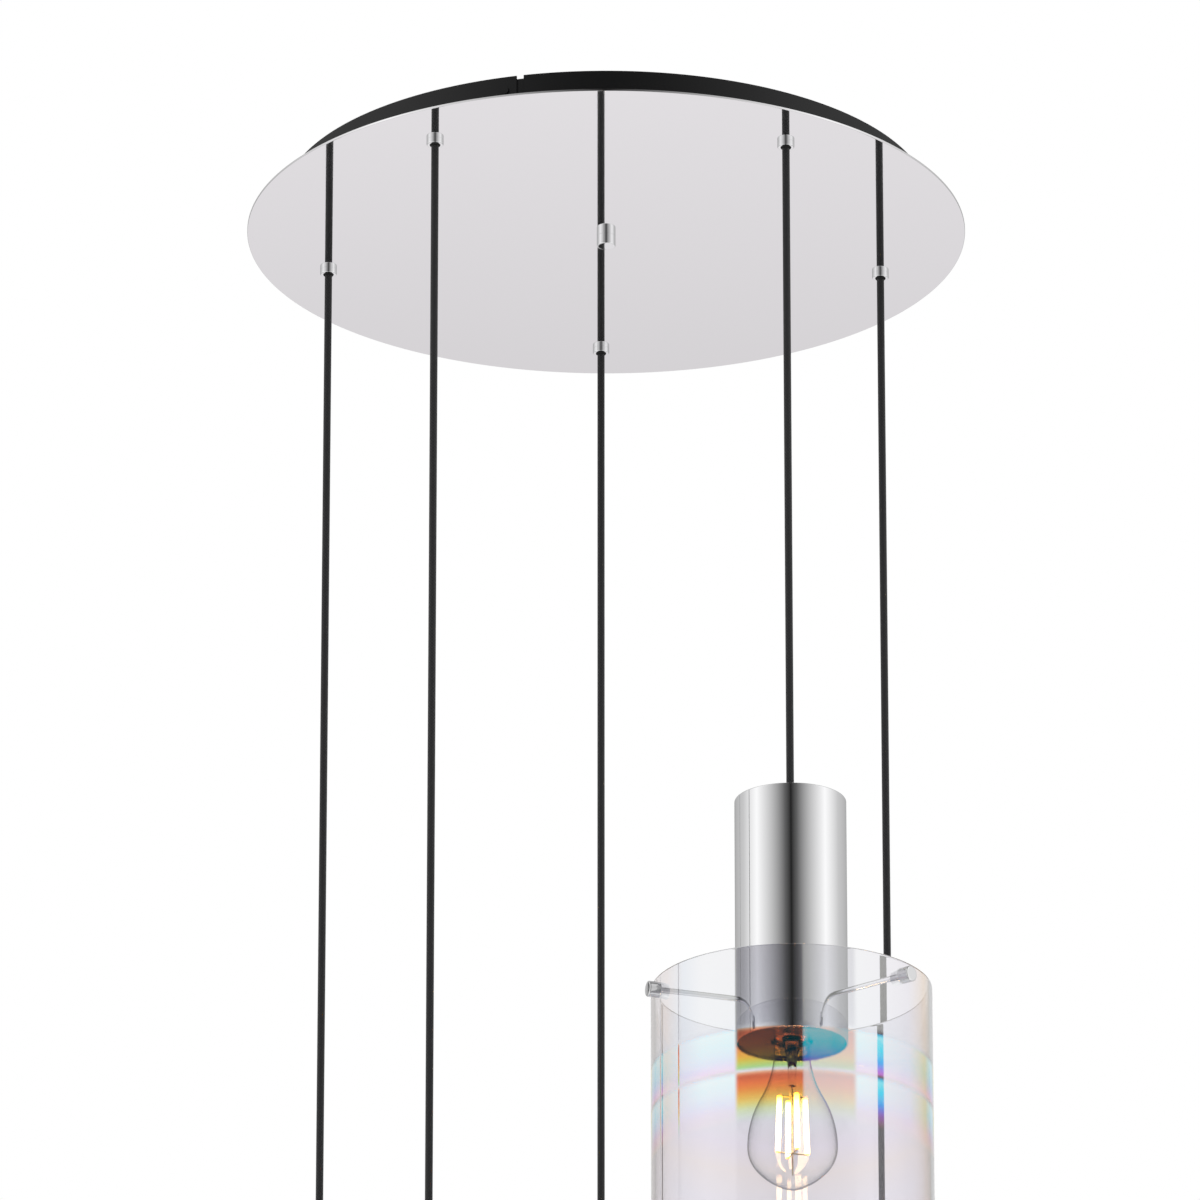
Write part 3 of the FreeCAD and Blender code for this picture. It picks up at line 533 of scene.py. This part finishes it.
def plated_brass(tree):
    """Nickel-plated brass: a warm silver, dulled where it has been handled."""
    place = add(tree, "ShaderNodeTexCoord").outputs["Object"]
    wear = add(tree, "ShaderNodeTexNoise", {"Vector": place, "Scale": 240, "Detail": 5})
    tone = add(tree, "ShaderNodeValToRGB", {"Fac": wear},
               stops=[(0.3, linear("#B9A988")), (0.7, linear("#D6CBB2"))])
    rough = add(tree, "ShaderNodeMapRange", {"Value": wear, "To Min": 0.15, "To Max": 0.4})
    return add(tree, "ShaderNodeBsdfPrincipled", {
        "Base Color": tone, "Metallic": 1.0, "Roughness": rough})


def glowing_filament(tree):
    """Phosphor-coated filament sticks, lit: white at the middle and amber towards both ends."""
    look = bpy.context.scene.pendant_bulb
    length = add(tree, "ShaderNodeAttribute", attribute_name="stick_share")
    amber, bright = linear("#C87A2A"), (*look.glow_colour, 1)
    glow = add(tree, "ShaderNodeValToRGB", {"Fac": length.outputs["Fac"]},
               stops=[(0, amber), (0.06, bright), (0.94, bright), (1, amber)])
    return add(tree, "ShaderNodeBsdfPrincipled", {
        "Base Color": linear("#F2C98A"), "Roughness": 0.5, "Emission Color": glow,
        "Emission Strength": look.glow_strength})


# The studio that polished metal mirrors, against the turn in degrees from the -Y side to the +Y side: a dark
# strip round the camera, a soft box on each side and a grey back wall
SURROUNDINGS = (
    (0, "#202020"), (12, "#606060"), (40, "#C0C0C0"), (75, "#FFFFFF"), (115, "#C8C8C8"), (180, "#A0A0A0"),
)
# The same painted onto the floor that metal mirrors: painted light and shade, with a painted lit patch on the
# +Y side
FLOOR_PAINTED_LIGHT = (
    (0, "#303030"), (40, "#C0C0C0"), (75, "#F0F0F0"), (120, "#C0C0C0"), (160, "#A0A0A0"), (170, "#E0DEE0"),
    (180, "#E0DEE0"),
)
# Tall panels that plain glass mirrors, against the signed turn in degrees from the -Y side, positive to +X: a
# dark and a grey one in front, and pale gels at the sides and behind
PANELS = (
    (-180, "#F8F8F8"), (-125, "#E8D8D0"), (-100, "#E0E8F0"), (-80, "#F8F8F8"), (-49, "#F8F8F8"),
    (-46, "#303030"), (7, "#303030"), (9, "#B8B8B8"), (50, "#B8B8B8"), (54, "#F8F8F8"), (110, "#E8E0E8"),
    (138, "#F0D0A8"), (156, "#F8F8F8"), (180, "#F8F8F8"),
)


def bearing(tree, spot, both_ways=True):
    """Nodes that give the turn from the -Y side to a point or direction, as a share of half a turn.

    The turn is the arctangent of x over -y. Both ways round count as positive, or only the way to +X does.
    """
    parts = add(tree, "ShaderNodeSeparateXYZ", {"Vector": spot})
    near = add(tree, "ShaderNodeMath", {0: parts.outputs["Y"], 1: -1.0}, operation="MULTIPLY")
    turn = add(tree, "ShaderNodeMath", {0: parts.outputs["X"], 1: near}, operation="ARCTAN2")
    share = add(tree, "ShaderNodeMath", {0: turn, 1: math.pi}, operation="DIVIDE")
    if not both_ways:
        return share
    return add(tree, "ShaderNodeMath", {0: share}, operation="ABSOLUTE")


def studio(tree):
    """A white room: plain white behind the object and through glass, soft greys in metal, panels in glass."""
    look = bpy.context.scene.pendant_stage
    direction = add(tree, "ShaderNodeTexCoord").outputs["Object"]
    turn = bearing(tree, direction)
    greys = add(tree, "ShaderNodeValToRGB", {"Fac": turn},
                stops=[(angle / 180, linear(tone)) for angle, tone in SURROUNDINGS])
    climb = add(tree, "ShaderNodeSeparateXYZ", {"Vector": direction})
    level = add(tree, "ShaderNodeMapRange", {
        "Value": climb.outputs["Z"], "From Min": 0.75, "From Max": 0.95, "To Min": 1.05, "To Max": 0.1})
    signed = bearing(tree, direction, both_ways=False)
    across = add(tree, "ShaderNodeMapRange", {"Value": signed, "From Min": -1.0})
    panels = add(tree, "ShaderNodeValToRGB", {"Fac": across},
                 stops=[((angle + 180) / 360, linear(tone)) for angle, tone in PANELS])
    path = add(tree, "ShaderNodeLightPath")
    even = add(tree, "ShaderNodeBackground", {"Color": (1, 1, 1, 1), "Strength": look.room_level})
    metal = add(tree, "ShaderNodeBackground", {"Color": greys, "Strength": level})
    glass = add(tree, "ShaderNodeBackground", {"Color": panels, "Strength": 1.0})
    white = add(tree, "ShaderNodeBackground", {"Color": (1, 1, 1, 1), "Strength": 1.0})
    mirrored = add(tree, "ShaderNodeMath", {0: path.outputs["Glossy Depth"], 1: 0.5},
                   operation="GREATER_THAN")
    sharp = add(tree, "ShaderNodeMath", {
        0: path.outputs["Is Reflection Ray"], 1: path.outputs["Is Singular Ray"]}, operation="MULTIPLY")
    glossy = add(tree, "ShaderNodeMixShader", {
        "Fac": sharp, 1: metal, 2: glass})
    seen = add(tree, "ShaderNodeMath", {
        0: path.outputs["Is Camera Ray"], 1: path.outputs["Is Transmission Ray"]}, operation="MAXIMUM")
    plain = add(tree, "ShaderNodeMixShader", {
        "Fac": seen, 1: even, 2: white})
    both = add(tree, "ShaderNodeMixShader", {
        "Fac": mirrored, 1: plain, 2: glossy})
    add(tree, "ShaderNodeOutputWorld", {"Surface": both})


def pale_floor(tree):
    """A matt pale floor with the object's shadow. Polished metal sees it lit, and from below it is clear."""
    look = bpy.context.scene.pendant_stage
    place = add(tree, "ShaderNodeTexCoord").outputs["Object"]
    # Painted light and shade: the floor that metal mirrors is dark towards the camera and lit at the sides
    # and behind
    turn = bearing(tree, place)
    greys = add(tree, "ShaderNodeValToRGB", {"Fac": turn},
                stops=[(angle / 180, linear(tone)) for angle, tone in FLOOR_PAINTED_LIGHT])
    spot = add(tree, "ShaderNodeSeparateXYZ", {"Vector": place})
    # Painted light: brighter at the near side of the floor and dimmer at its far side
    level = add(tree, "ShaderNodeMapRange", {
        "Value": spot.outputs["Y"], "From Min": 7.3, "From Max": 8.45, "To Min": 1.12, "To Max": 0.98})
    lit = add(tree, "ShaderNodeEmission", {"Color": greys, "Strength": level})
    matt = add(tree, "ShaderNodeBsdfDiffuse", {"Color": (*look.floor_colour, 1)})
    clear = add(tree, "ShaderNodeBsdfTransparent")
    path = add(tree, "ShaderNodeLightPath")
    mirrored = add(tree, "ShaderNodeMath", {0: path.outputs["Glossy Depth"], 1: 0.5},
                   operation="GREATER_THAN")
    upper = add(tree, "ShaderNodeMixShader", {
        "Fac": mirrored, 1: matt, 2: lit})
    side = add(tree, "ShaderNodeNewGeometry")
    return add(tree, "ShaderNodeMixShader", {
        "Fac": side.outputs["Backfacing"], 1: upper, 2: clear})


# Operators

class PENDANT_OT_stage(Operator):
    """Camera, soft light and pale floor"""
    bl_idname = "pendant.stage"
    bl_label = "Stage"

    def execute(self, context):
        look = context.scene.pendant_stage
        camera = bpy.data.objects.new("camera", bpy.data.cameras.new("camera"))
        camera.data.lens = look.camera_lens
        camera.data.clip_end = VIEW_REACH
        camera.location = (look.camera_side, -look.camera_distance, -look.camera_drop)
        camera.rotation_euler = (math.radians(90) + look.camera_pitch, 0, 0)
        context.scene.collection.objects.link(camera)
        context.scene.camera = camera

        lamp = bpy.data.lights.new("soft_lamp", "AREA")
        lamp.shape = "DISK"
        lamp.size = LAMP_SIZE
        lamp.energy = look.lamp_power
        holder = bpy.data.objects.new("soft_lamp", lamp)
        holder.location = LAMP_PLACE
        aim = Vector(LAMP_AIM) - holder.location
        holder.rotation_euler = aim.to_track_quat("-Z", "Y").to_euler()
        holder.visible_glossy = False
        holder.visible_transmission = False
        holder.visible_camera = False
        context.scene.collection.objects.link(holder)

        world = bpy.data.worlds.new("studio")
        world.use_nodes = True
        world.node_tree.nodes.clear()
        studio(world.node_tree)
        context.scene.world = world
        context.scene.view_settings.view_transform = "Standard"

        reach, drop = look.floor_reach, -look.floor_drop
        floor = bpy.data.objects.new("floor", bpy.data.meshes.new("floor"))
        floor.data.from_pydata([(-reach, -reach, drop), (reach, -reach, drop), (reach, reach, drop),
                                (-reach, reach, drop)], [], [(0, 1, 2, 3)])
        floor.data.materials.append(material("pale_floor", pale_floor))
        context.scene.collection.objects.link(floor)
        return {"FINISHED"}


class PENDANT_OT_cords(Operator):
    """Braided cords from the canopy to the cups"""
    bl_idname = "pendant.cords"
    bl_label = "Cords"

    def execute(self, context):
        look = context.scene.pendant_cord
        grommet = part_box("grip_grommets")[0].z
        for number in PENDANTS:
            x, y, top = pendant_place(number)
            upper = grommet + CORD_ABOVE_GROMMET
            lower = top + CORD_ABOVE_CUP
            straight = 6 * look.diameter
            route = [(x, y, upper), (x, y, upper - straight), (x, y, lower + straight), (x, y, lower)]
            curve = bpy.data.curves.new(f"cord_route_{number}", "CURVE")
            curve.dimensions = "3D"
            spline = curve.splines.new("NURBS")
            spline.points.add(len(route) - 1)
            spline.points.foreach_set("co", np.array([(*point, 1) for point in route]).ravel())
            spline.order_u = 3
            spline.use_endpoint_u = True
            holder = bpy.data.objects.new(f"cord_route_{number}", curve)
            line = bpy.data.meshes.new_from_object(holder)
            path = np.empty(len(line.vertices) * 3)
            line.vertices.foreach_get("co", path)
            path = path.reshape(-1, 3)
            bpy.data.objects.remove(holder)
            bpy.data.meshes.remove(line)
            made = piece(f"fabric_cord_{number}", self.tube(f"fabric_cord_{number}", path, look.diameter / 2),
                         material("braided_polyester", braid), f"cord_{number}", "black_fabric",
                         f"cord_{number}")
            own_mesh(made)
        return {"FINISHED"}

    @staticmethod
    def tube(name, path, radius, segments=24):
        """A round section carried along a path: P(s) + r (U cos a + V sin a), closed at both ends."""
        along = np.concatenate([[0], np.cumsum(np.linalg.norm(np.diff(path, axis=0), axis=1))])
        tangent = np.gradient(path, axis=0)
        tangent /= np.linalg.norm(tangent, axis=1, keepdims=True)
        first = np.cross(tangent, (0.0, 1.0, 0.0))
        first /= np.linalg.norm(first, axis=1, keepdims=True)
        second = np.cross(first, tangent)
        angle = (np.arange(segments) * (2 * math.pi / segments))[:, None, None]
        grid = ended(path + radius * (first * np.cos(angle) + second * np.sin(angle)))
        columns = np.concatenate([along[:1], along, along[-1:]])
        turn = np.arange(segments)[:, None] / segments + 0 * columns
        mesh = skin(name, [grid], {"around": [turn], "along": [columns + 0 * turn]})
        unrolled(mesh, "around", "along")
        return mesh


class PENDANT_OT_canopy(Operator):
    """Mirror plate, black band, knob, cord grips and grommets"""
    bl_idname = "pendant.canopy"
    bl_label = "Canopy"

    def execute(self, context):
        look = context.scene.pendant_canopy
        polished = material("polished_chrome", chrome)

        low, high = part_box("face_plate")
        radius, bottom, top, bore = (value / MM for value in (high.x, low.z, high.z, look.bore_radius))
        outline = rounded([(bore, bottom), (radius, bottom), (radius, top), (bore, top)], [0, 0.4, 0.15, 0])
        piece("mirror_plate", skin("mirror_plate", [turned(outline, 256)]),
              material("polished_steel_mirror", mirror), "canopy", "chrome_polished", "face_plate")

        low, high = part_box("canopy_band")
        radius, wall = high.x / MM, look.band_wall / MM
        outline = rounded([(radius - wall, low.z / MM), (radius, low.z / MM), (radius, high.z / MM),
                           (radius - wall, high.z / MM)], 0.3, steps=3) * MM
        gap = look.slit_width / high.x / 2
        angle = np.linspace(look.slit_angle + gap, look.slit_angle + 2 * math.pi - gap, 256)
        strip = np.stack([outline[:, :1] * np.cos(angle), outline[:, :1] * np.sin(angle),
                          outline[:, 1:] + 0 * angle], axis=-1)
        piece("black_band", skin("black_band", [ended(strip)]), material("black_powder_coat", black_paint),
              "canopy", "black_paint", "canopy_band")

        low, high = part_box("centre_knob")
        radius, bottom, top = high.x / MM, low.z / MM, high.z / MM
        inner = bottom + KNOB_FACE
        outline = rounded([(KNOB_BORE, top), (KNOB_BORE, inner), (0, inner), (0, bottom), (radius, bottom),
                           (radius, top)], [0, 0, 0, 0, 0.8, 0.15])
        piece("round_knob", skin("round_knob", [turned(outline, 96)]), polished, "knob", "chrome_polished",
              "centre_knob")

        low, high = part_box("cord_grips")
        bottom, top, plate = low.z / MM, high.z / MM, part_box("face_plate")[0].z / MM
        bush = rounded([(GRIP_BORE, bottom), (GRIP_HEAD, bottom), (GRIP_HEAD, plate), (GRIP_SHANK, plate),
                        (GRIP_SHANK, top), (GRIP_BORE, top)], [0.3, 0.9, 0.1, 0, 0.2, 0.2])
        low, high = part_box("grip_grommets")
        bottom, top = low.z / MM, high.z / MM
        sleeve = rounded([(GROMMET_BORE, bottom), (GRIP_BORE, bottom), (GRIP_BORE, top), (GROMMET_BORE, top)],
                         [0.2, 0.35, 0.1, 0.1])
        places = [pendant_place(number) * (1, 1, 0) for number in PENDANTS]
        piece("chrome_grips", skin("chrome_grips", [turned(bush, 64, place) for place in places]), polished,
              "canopy", "chrome_polished", "cord_grips")
        piece("rubber_grommets", skin("rubber_grommets", [turned(sleeve, 48, place) for place in places]),
              material("black_rubber", black_rubber), "canopy", "black_rubber", "grip_grommets")
        return {"FINISHED"}


class PENDANT_OT_holders(Operator):
    """Chrome cups with their cord clamps and closing pans"""
    bl_idname = "pendant.holders"
    bl_label = "Holders"

    def execute(self, context):
        polished = material("polished_chrome", chrome)
        for number in PENDANTS:
            place = pendant_place(number)
            low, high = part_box(f"holder_cup_{number}")
            radius, height = (high.x - low.x) / 2 / MM, (high.z - low.z) / MM
            inner = radius - CUP_WALL
            cup = rounded([(CUP_HOLE, 0), (CUP_HOLE, -CUP_WALL), (inner, -CUP_WALL), (inner, -height),
                           (radius, -height), (radius, 0)], [0.1, 0, 0.5, 0.35, 0.35, 0.9])
            piece(f"chrome_cup_{number}", skin(f"chrome_cup_{number}", [turned(cup, 160, place)]), polished,
                  f"pendant_{number}", "chrome_polished", f"holder_cup_{number}")
            clamp = rounded([(CLAMP_BORE, CLAMP_RISE), (CLAMP_BORE, -CLAMP_DEPTH),
                             (CLAMP_SHANK, -CLAMP_DEPTH), (CLAMP_SHANK, 0), (CLAMP_HEAD, 0),
                             (CLAMP_HEAD, CLAMP_RISE)],
                            [0.2, 0.2, 0.2, 0, 0.1, 0.9])
            piece(f"chrome_clamp_{number}", skin(f"chrome_clamp_{number}", [turned(clamp, 64, place)]),
                  polished, f"pendant_{number}", "chrome_polished", f"cord_clamp_{number}")
            low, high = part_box(f"closing_pan_{number}")
            radius, bottom, top = (high.x - low.x) / 2 / MM, (low.z - place[2]) / MM, (high.z - place[2]) / MM
            inner, floor = radius - PAN_WALL, bottom + PAN_WALL
            pan = rounded([(inner, top), (inner, floor), (PAN_HOLE, floor), (PAN_HOLE, bottom),
                           (radius, bottom), (radius, top)], [0.2, 0.8, 0.2, 0.5, 0.9, 0.2])
            piece(f"plated_pan_{number}", skin(f"plated_pan_{number}", [turned(pan, 128, place)]),
                  material("black_nickel_plate", dark_plate), f"pendant_{number}", "chrome_polished",
                  f"closing_pan_{number}")
        return {"FINISHED"}


class PENDANT_OT_shade_screws(Operator):
    """Three long screws with round heads for each glass"""
    bl_idname = "pendant.shade_screws"
    bl_label = "Shade screws"

    def execute(self, context):
        for number in PENDANTS:
            place = pendant_place(number)
            low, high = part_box(f"shade_screws_{number}")
            height = (low.z + high.z) / 2
            screw = rounded([(0, SCREW_START), (SCREW_SHANK, SCREW_START), (SCREW_SHANK, SCREW_HEAD_START),
                             (SCREW_HEAD, SCREW_HEAD_START), (SCREW_HEAD, SCREW_END), (0, SCREW_END)],
                            [0, 0.2, 0, 0.35, 1.0, 0])
            grids = []
            for degrees in SCREW_ANGLES:
                angle = math.radians(degrees)
                grids.append(aimed(turned(screw, 64), (place[0], place[1], height),
                                   (math.cos(angle), math.sin(angle), 0)))
            piece(f"chrome_screws_{number}", skin(f"chrome_screws_{number}", grids),
                  material("polished_chrome", chrome), f"pendant_{number}", "chrome_polished",
                  f"shade_screws_{number}")
        return {"FINISHED"}


class PENDANT_OT_shades(Operator):
    """Coated glass cylinders"""
    bl_idname = "pendant.shades"
    bl_label = "Glass shades"

    def execute(self, context):
        wall = context.scene.pendant_glass.wall / MM
        for number in PENDANTS:
            place = pendant_place(number)
            low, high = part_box(f"glass_shade_{number}")
            radius, top, bottom = (high.x - low.x) / 2 / MM, high.z / MM, low.z / MM
            inner = radius - wall
            outline = rounded([(inner, bottom), (radius, bottom), (radius, top), (inner, top)], 0.9)
            # The coating is on the outer wall alone. Elsewhere the depth is past its end.
            outer = outline[:, 0] > radius - 0.5
            depth = np.where(outer, (top - outline[:, 1]) * MM, 1.0)[:, None]
            grid = turned(outline, 192, place * (1, 1, 0))
            piece(f"coated_shade_{number}",
                  skin(f"coated_shade_{number}", [grid], {"coating_depth": [depth + 0 * grid[:, :, 0]]}),
                  material("coated_shade_glass", coated_glass), f"pendant_{number}", "coated_glass",
                  f"glass_shade_{number}")
        return {"FINISHED"}


class PENDANT_OT_bulbs(Operator):
    """Clear bulbs with their caps, stems, wires and filament sticks"""
    bl_idname = "pendant.bulbs"
    bl_label = "Bulbs"

    def execute(self, context):
        look = context.scene.pendant_bulb
        for number in PENDANTS:
            place = pendant_place(number)
            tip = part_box(f"bulb_glass_{number}")[0].z
            foot = (place[0], place[1], tip)
            body = f"bulb_{number}"
            outer, inner = self.envelope(0.0), self.envelope(BULB_WALL)
            outline = np.concatenate([outer, inner[::-1]])
            piece(f"clear_bulb_{number}", skin(f"clear_bulb_{number}", [turned(outline, 96, foot)]),
                  material("blown_clear_glass", clear_glass), body, "clear_glass", f"bulb_glass_{number}")
            piece(f"bulb_cap_{number}", skin(f"bulb_cap_{number}", [self.cap(look) + np.asarray(foot)]),
                  material("plated_brass", plated_brass), body, "bulb_metal", f"bulb_core_{number}")
            share = np.linspace(0, 1, 16)
            side = np.stack([STEM_TOP + STEM_FLARE * (1 - share) ** 2.2,
                             CAP_FOOT - STEM_LENGTH * share], axis=-1)
            stem_tip = (0, CAP_FOOT - STEM_LENGTH - STEM_TIP)
            stem = np.concatenate([[(0, CAP_FOOT)], side, [stem_tip]])[::-1]
            piece(f"bulb_stem_{number}", skin(f"bulb_stem_{number}", [turned(stem, 48, foot)]),
                  material("blown_clear_glass", clear_glass), body, "clear_glass")
            self.cage(number, foot, body)
        return {"FINISHED"}

    @staticmethod
    def envelope(inset):
        """The bulb's outline from its tip up to its neck, in millimetres above the tip, drawn in by an inset.

        Its round end is three arcs C + r (cos t, -sin t): a tight shoulder, a flatter dome and a small tip,
        each with its centre on the last arc's end radius. The flank is two equal arcs that bend out of the
        shoulder and into the neck, with the radius (run^2 + rise^2) / 4 run for the run and rise of both.
        """
        radii, first = BULB_END_ARCS, math.radians(BULB_END_TURN)
        wide, neck = BULB_RADIUS - inset, BULB_NECK - inset
        second = math.acos((radii[0] - BULB_RADIUS + (radii[1] - radii[0]) * math.cos(first))
                           / (radii[1] - radii[2]))
        turns = (0.0, first, second, math.pi / 2)
        centre, arcs = np.array([BULB_RADIUS - radii[0], 0.0]), []
        for radius, following, begin, end in zip(radii, radii[1:], turns, turns[1:]):
            turn = np.linspace(begin, end, 16)[1 if arcs else 0:]
            arcs.append(centre + (radius - inset) * np.stack([np.cos(turn), -np.sin(turn)], axis=-1))
            centre = centre + (radius - following) * np.array([math.cos(end), -math.sin(end)])
        round_end = np.concatenate(arcs)[::-1] - (0, centre[1])
        widest = -centre[1]
        run, rise = wide - neck, BULB_SHOULDER - widest
        arc = (run ** 2 + rise ** 2) / (4 * run)
        turn = np.linspace(0, math.asin(rise / 2 / arc), 24)[1:]
        low = np.stack([wide - arc * (1 - np.cos(turn)), widest + arc * np.sin(turn)], axis=-1)
        high = np.stack([neck + arc * (1 - np.cos(turn)), BULB_SHOULDER - arc * np.sin(turn)], axis=-1)[::-1]
        return np.concatenate([round_end, low, high[1:], [(neck, BULB_SHOULDER), (neck, CAP_FOOT)]])

    @staticmethod
    def cap(look):
        """The screw cap. Between its smooth ends the radius is R - d/2 + d/2 sin(turn + 2 pi h / pitch)."""
        depth, pitch = look.thread_depth / MM, look.thread_pitch / MM
        height = np.concatenate([[CAP_FOOT, CAP_FOOT], np.linspace(113.2, 136, 96),
                                 [136, 136.2, 139.2, 140, 140]])
        plain = np.concatenate([[0, 12.4], np.full(96, CAP_RADIUS), [8, 5.2, 5, 4.4, 0]])
        fade = np.clip(np.minimum(height - 115, 134 - height) / 2, 0, 1)
        fade[:2] = fade[-5:] = 0
        angle = np.arange(96) * (2 * math.pi / 96)
        wave = np.sin(angle[None, :] + 2 * math.pi * height[:, None] / pitch)
        radius = (plain[:, None] + fade[:, None] * (wave - 1) * depth / 2) * MM
        return np.stack([radius * np.cos(angle), radius * np.sin(angle),
                         height[:, None] * MM + 0 * radius], axis=-1)

    @staticmethod
    def cage(number, foot, body):
        """Lead wires, and four nearly upright filament sticks between them."""
        foot = Vector(foot)
        wires, sticks = [], []

        def bar(start, end, radius, ease, segments):
            length = (end - start).length / MM
            outline = rounded([(0, 0), (radius, 0), (radius, length), (0, length)], ease, steps=4)
            return aimed(turned(outline, segments), foot + start, end - start), outline

        def below(radius, angle, drop):
            return Vector((radius * math.cos(angle), radius * math.sin(angle), CAP_FOOT - drop)) * MM

        wires.append(bar(below(0, 0, WIRE_TOP_DROP), below(0, 0, WIRE_FOOT_DROP), WIRE_RADIUS, 0.2, 16)[0])
        shares = []
        for quarter in range(4):
            angle = math.radians(FIRST_STICK_ANGLE) + quarter * math.pi / 2
            high = below(STICK_TOP_CIRCLE, angle, STICK_TOP_DROP)
            low = below(STICK_FOOT_CIRCLE, angle, STICK_FOOT_DROP)
            for end, drop in ((high, STICK_TOP_DROP), (low, STICK_FOOT_DROP)):
                wires.append(bar(below(0, 0, drop), end, WIRE_RADIUS, 0.2, 16)[0])
            grid, outline = bar(high, low, STICK_RADIUS, 0.8, 24)
            sticks.append(grid)
            shares.append((outline[:, 1:] / outline[:, 1].max()) + 0 * grid[:, :, 0])
        piece(f"bulb_wires_{number}", skin(f"bulb_wires_{number}", wires),
              material("plated_brass", plated_brass), body, "bulb_metal")
        piece(f"bulb_filaments_{number}", skin(f"bulb_filaments_{number}", sticks, {"stick_share": shares}),
              material("glowing_filament", glowing_filament), body, "bulb_metal")


class PENDANT_OT_kept_nodes(Operator):
    """Finishes for the pieces that stay as they are in the model"""
    bl_idname = "pendant.kept_nodes"
    bl_label = "Bracket, nuts and lampholders"

    def execute(self, context):
        steel = material("zinc_plated_steel", zinc_steel)
        for node in ("ceiling_bracket", "grip_nuts"):
            dress(node, steel)
        for node in ("band_joint_plate", "band_screw"):
            dress(node, material("black_powder_coat", black_paint))
        dress("terminal_block", material("white_polyamide", white_plastic))
        for number in PENDANTS:
            dress(f"holder_screws_{number}", steel)
            dress(f"lampholder_{number}", material("black_phenolic", black_phenolic))
        return {"FINISHED"}


OPERATORS = (
    PENDANT_OT_stage, PENDANT_OT_cords, PENDANT_OT_canopy, PENDANT_OT_holders, PENDANT_OT_shade_screws,
    PENDANT_OT_shades, PENDANT_OT_bulbs, PENDANT_OT_kept_nodes,
)
SETTINGS = {
    "pendant_stage": StageSettings, "pendant_canopy": CanopySettings, "pendant_cord": CordSettings,
    "pendant_glass": GlassSettings, "pendant_bulb": BulbSettings,
}


class PENDANT_PT_sidebar(Panel):
    """Lists the pieces of the pendant"""
    bl_idname = "PENDANT_PT_sidebar"
    bl_label = "Cluster pendant"
    bl_space_type = "VIEW_3D"
    bl_region_type = "UI"
    bl_category = "Pendant"

    def draw(self, context):
        for operator in OPERATORS:
            self.layout.operator(operator.bl_idname)


def register():
    """Add the classes and hang the settings on the scene."""
    for group in (*SETTINGS.values(), *OPERATORS, PENDANT_PT_sidebar):
        bpy.utils.register_class(group)
    for name, group in SETTINGS.items():
        setattr(bpy.types.Scene, name, PointerProperty(type=group))


def unregister():
    """Take the settings and the classes away again."""
    for name in SETTINGS:
        delattr(bpy.types.Scene, name)
    for group in reversed((*SETTINGS.values(), *OPERATORS, PENDANT_PT_sidebar)):
        bpy.utils.unregister_class(group)


def main():
    """Make every piece."""
    register()
    bpy.ops.pendant.stage()
    bpy.ops.pendant.cords()
    bpy.ops.pendant.canopy()
    bpy.ops.pendant.holders()
    bpy.ops.pendant.shade_screws()
    bpy.ops.pendant.shades()
    bpy.ops.pendant.bulbs()
    bpy.ops.pendant.kept_nodes()


if __name__ == "__main__":
    main()
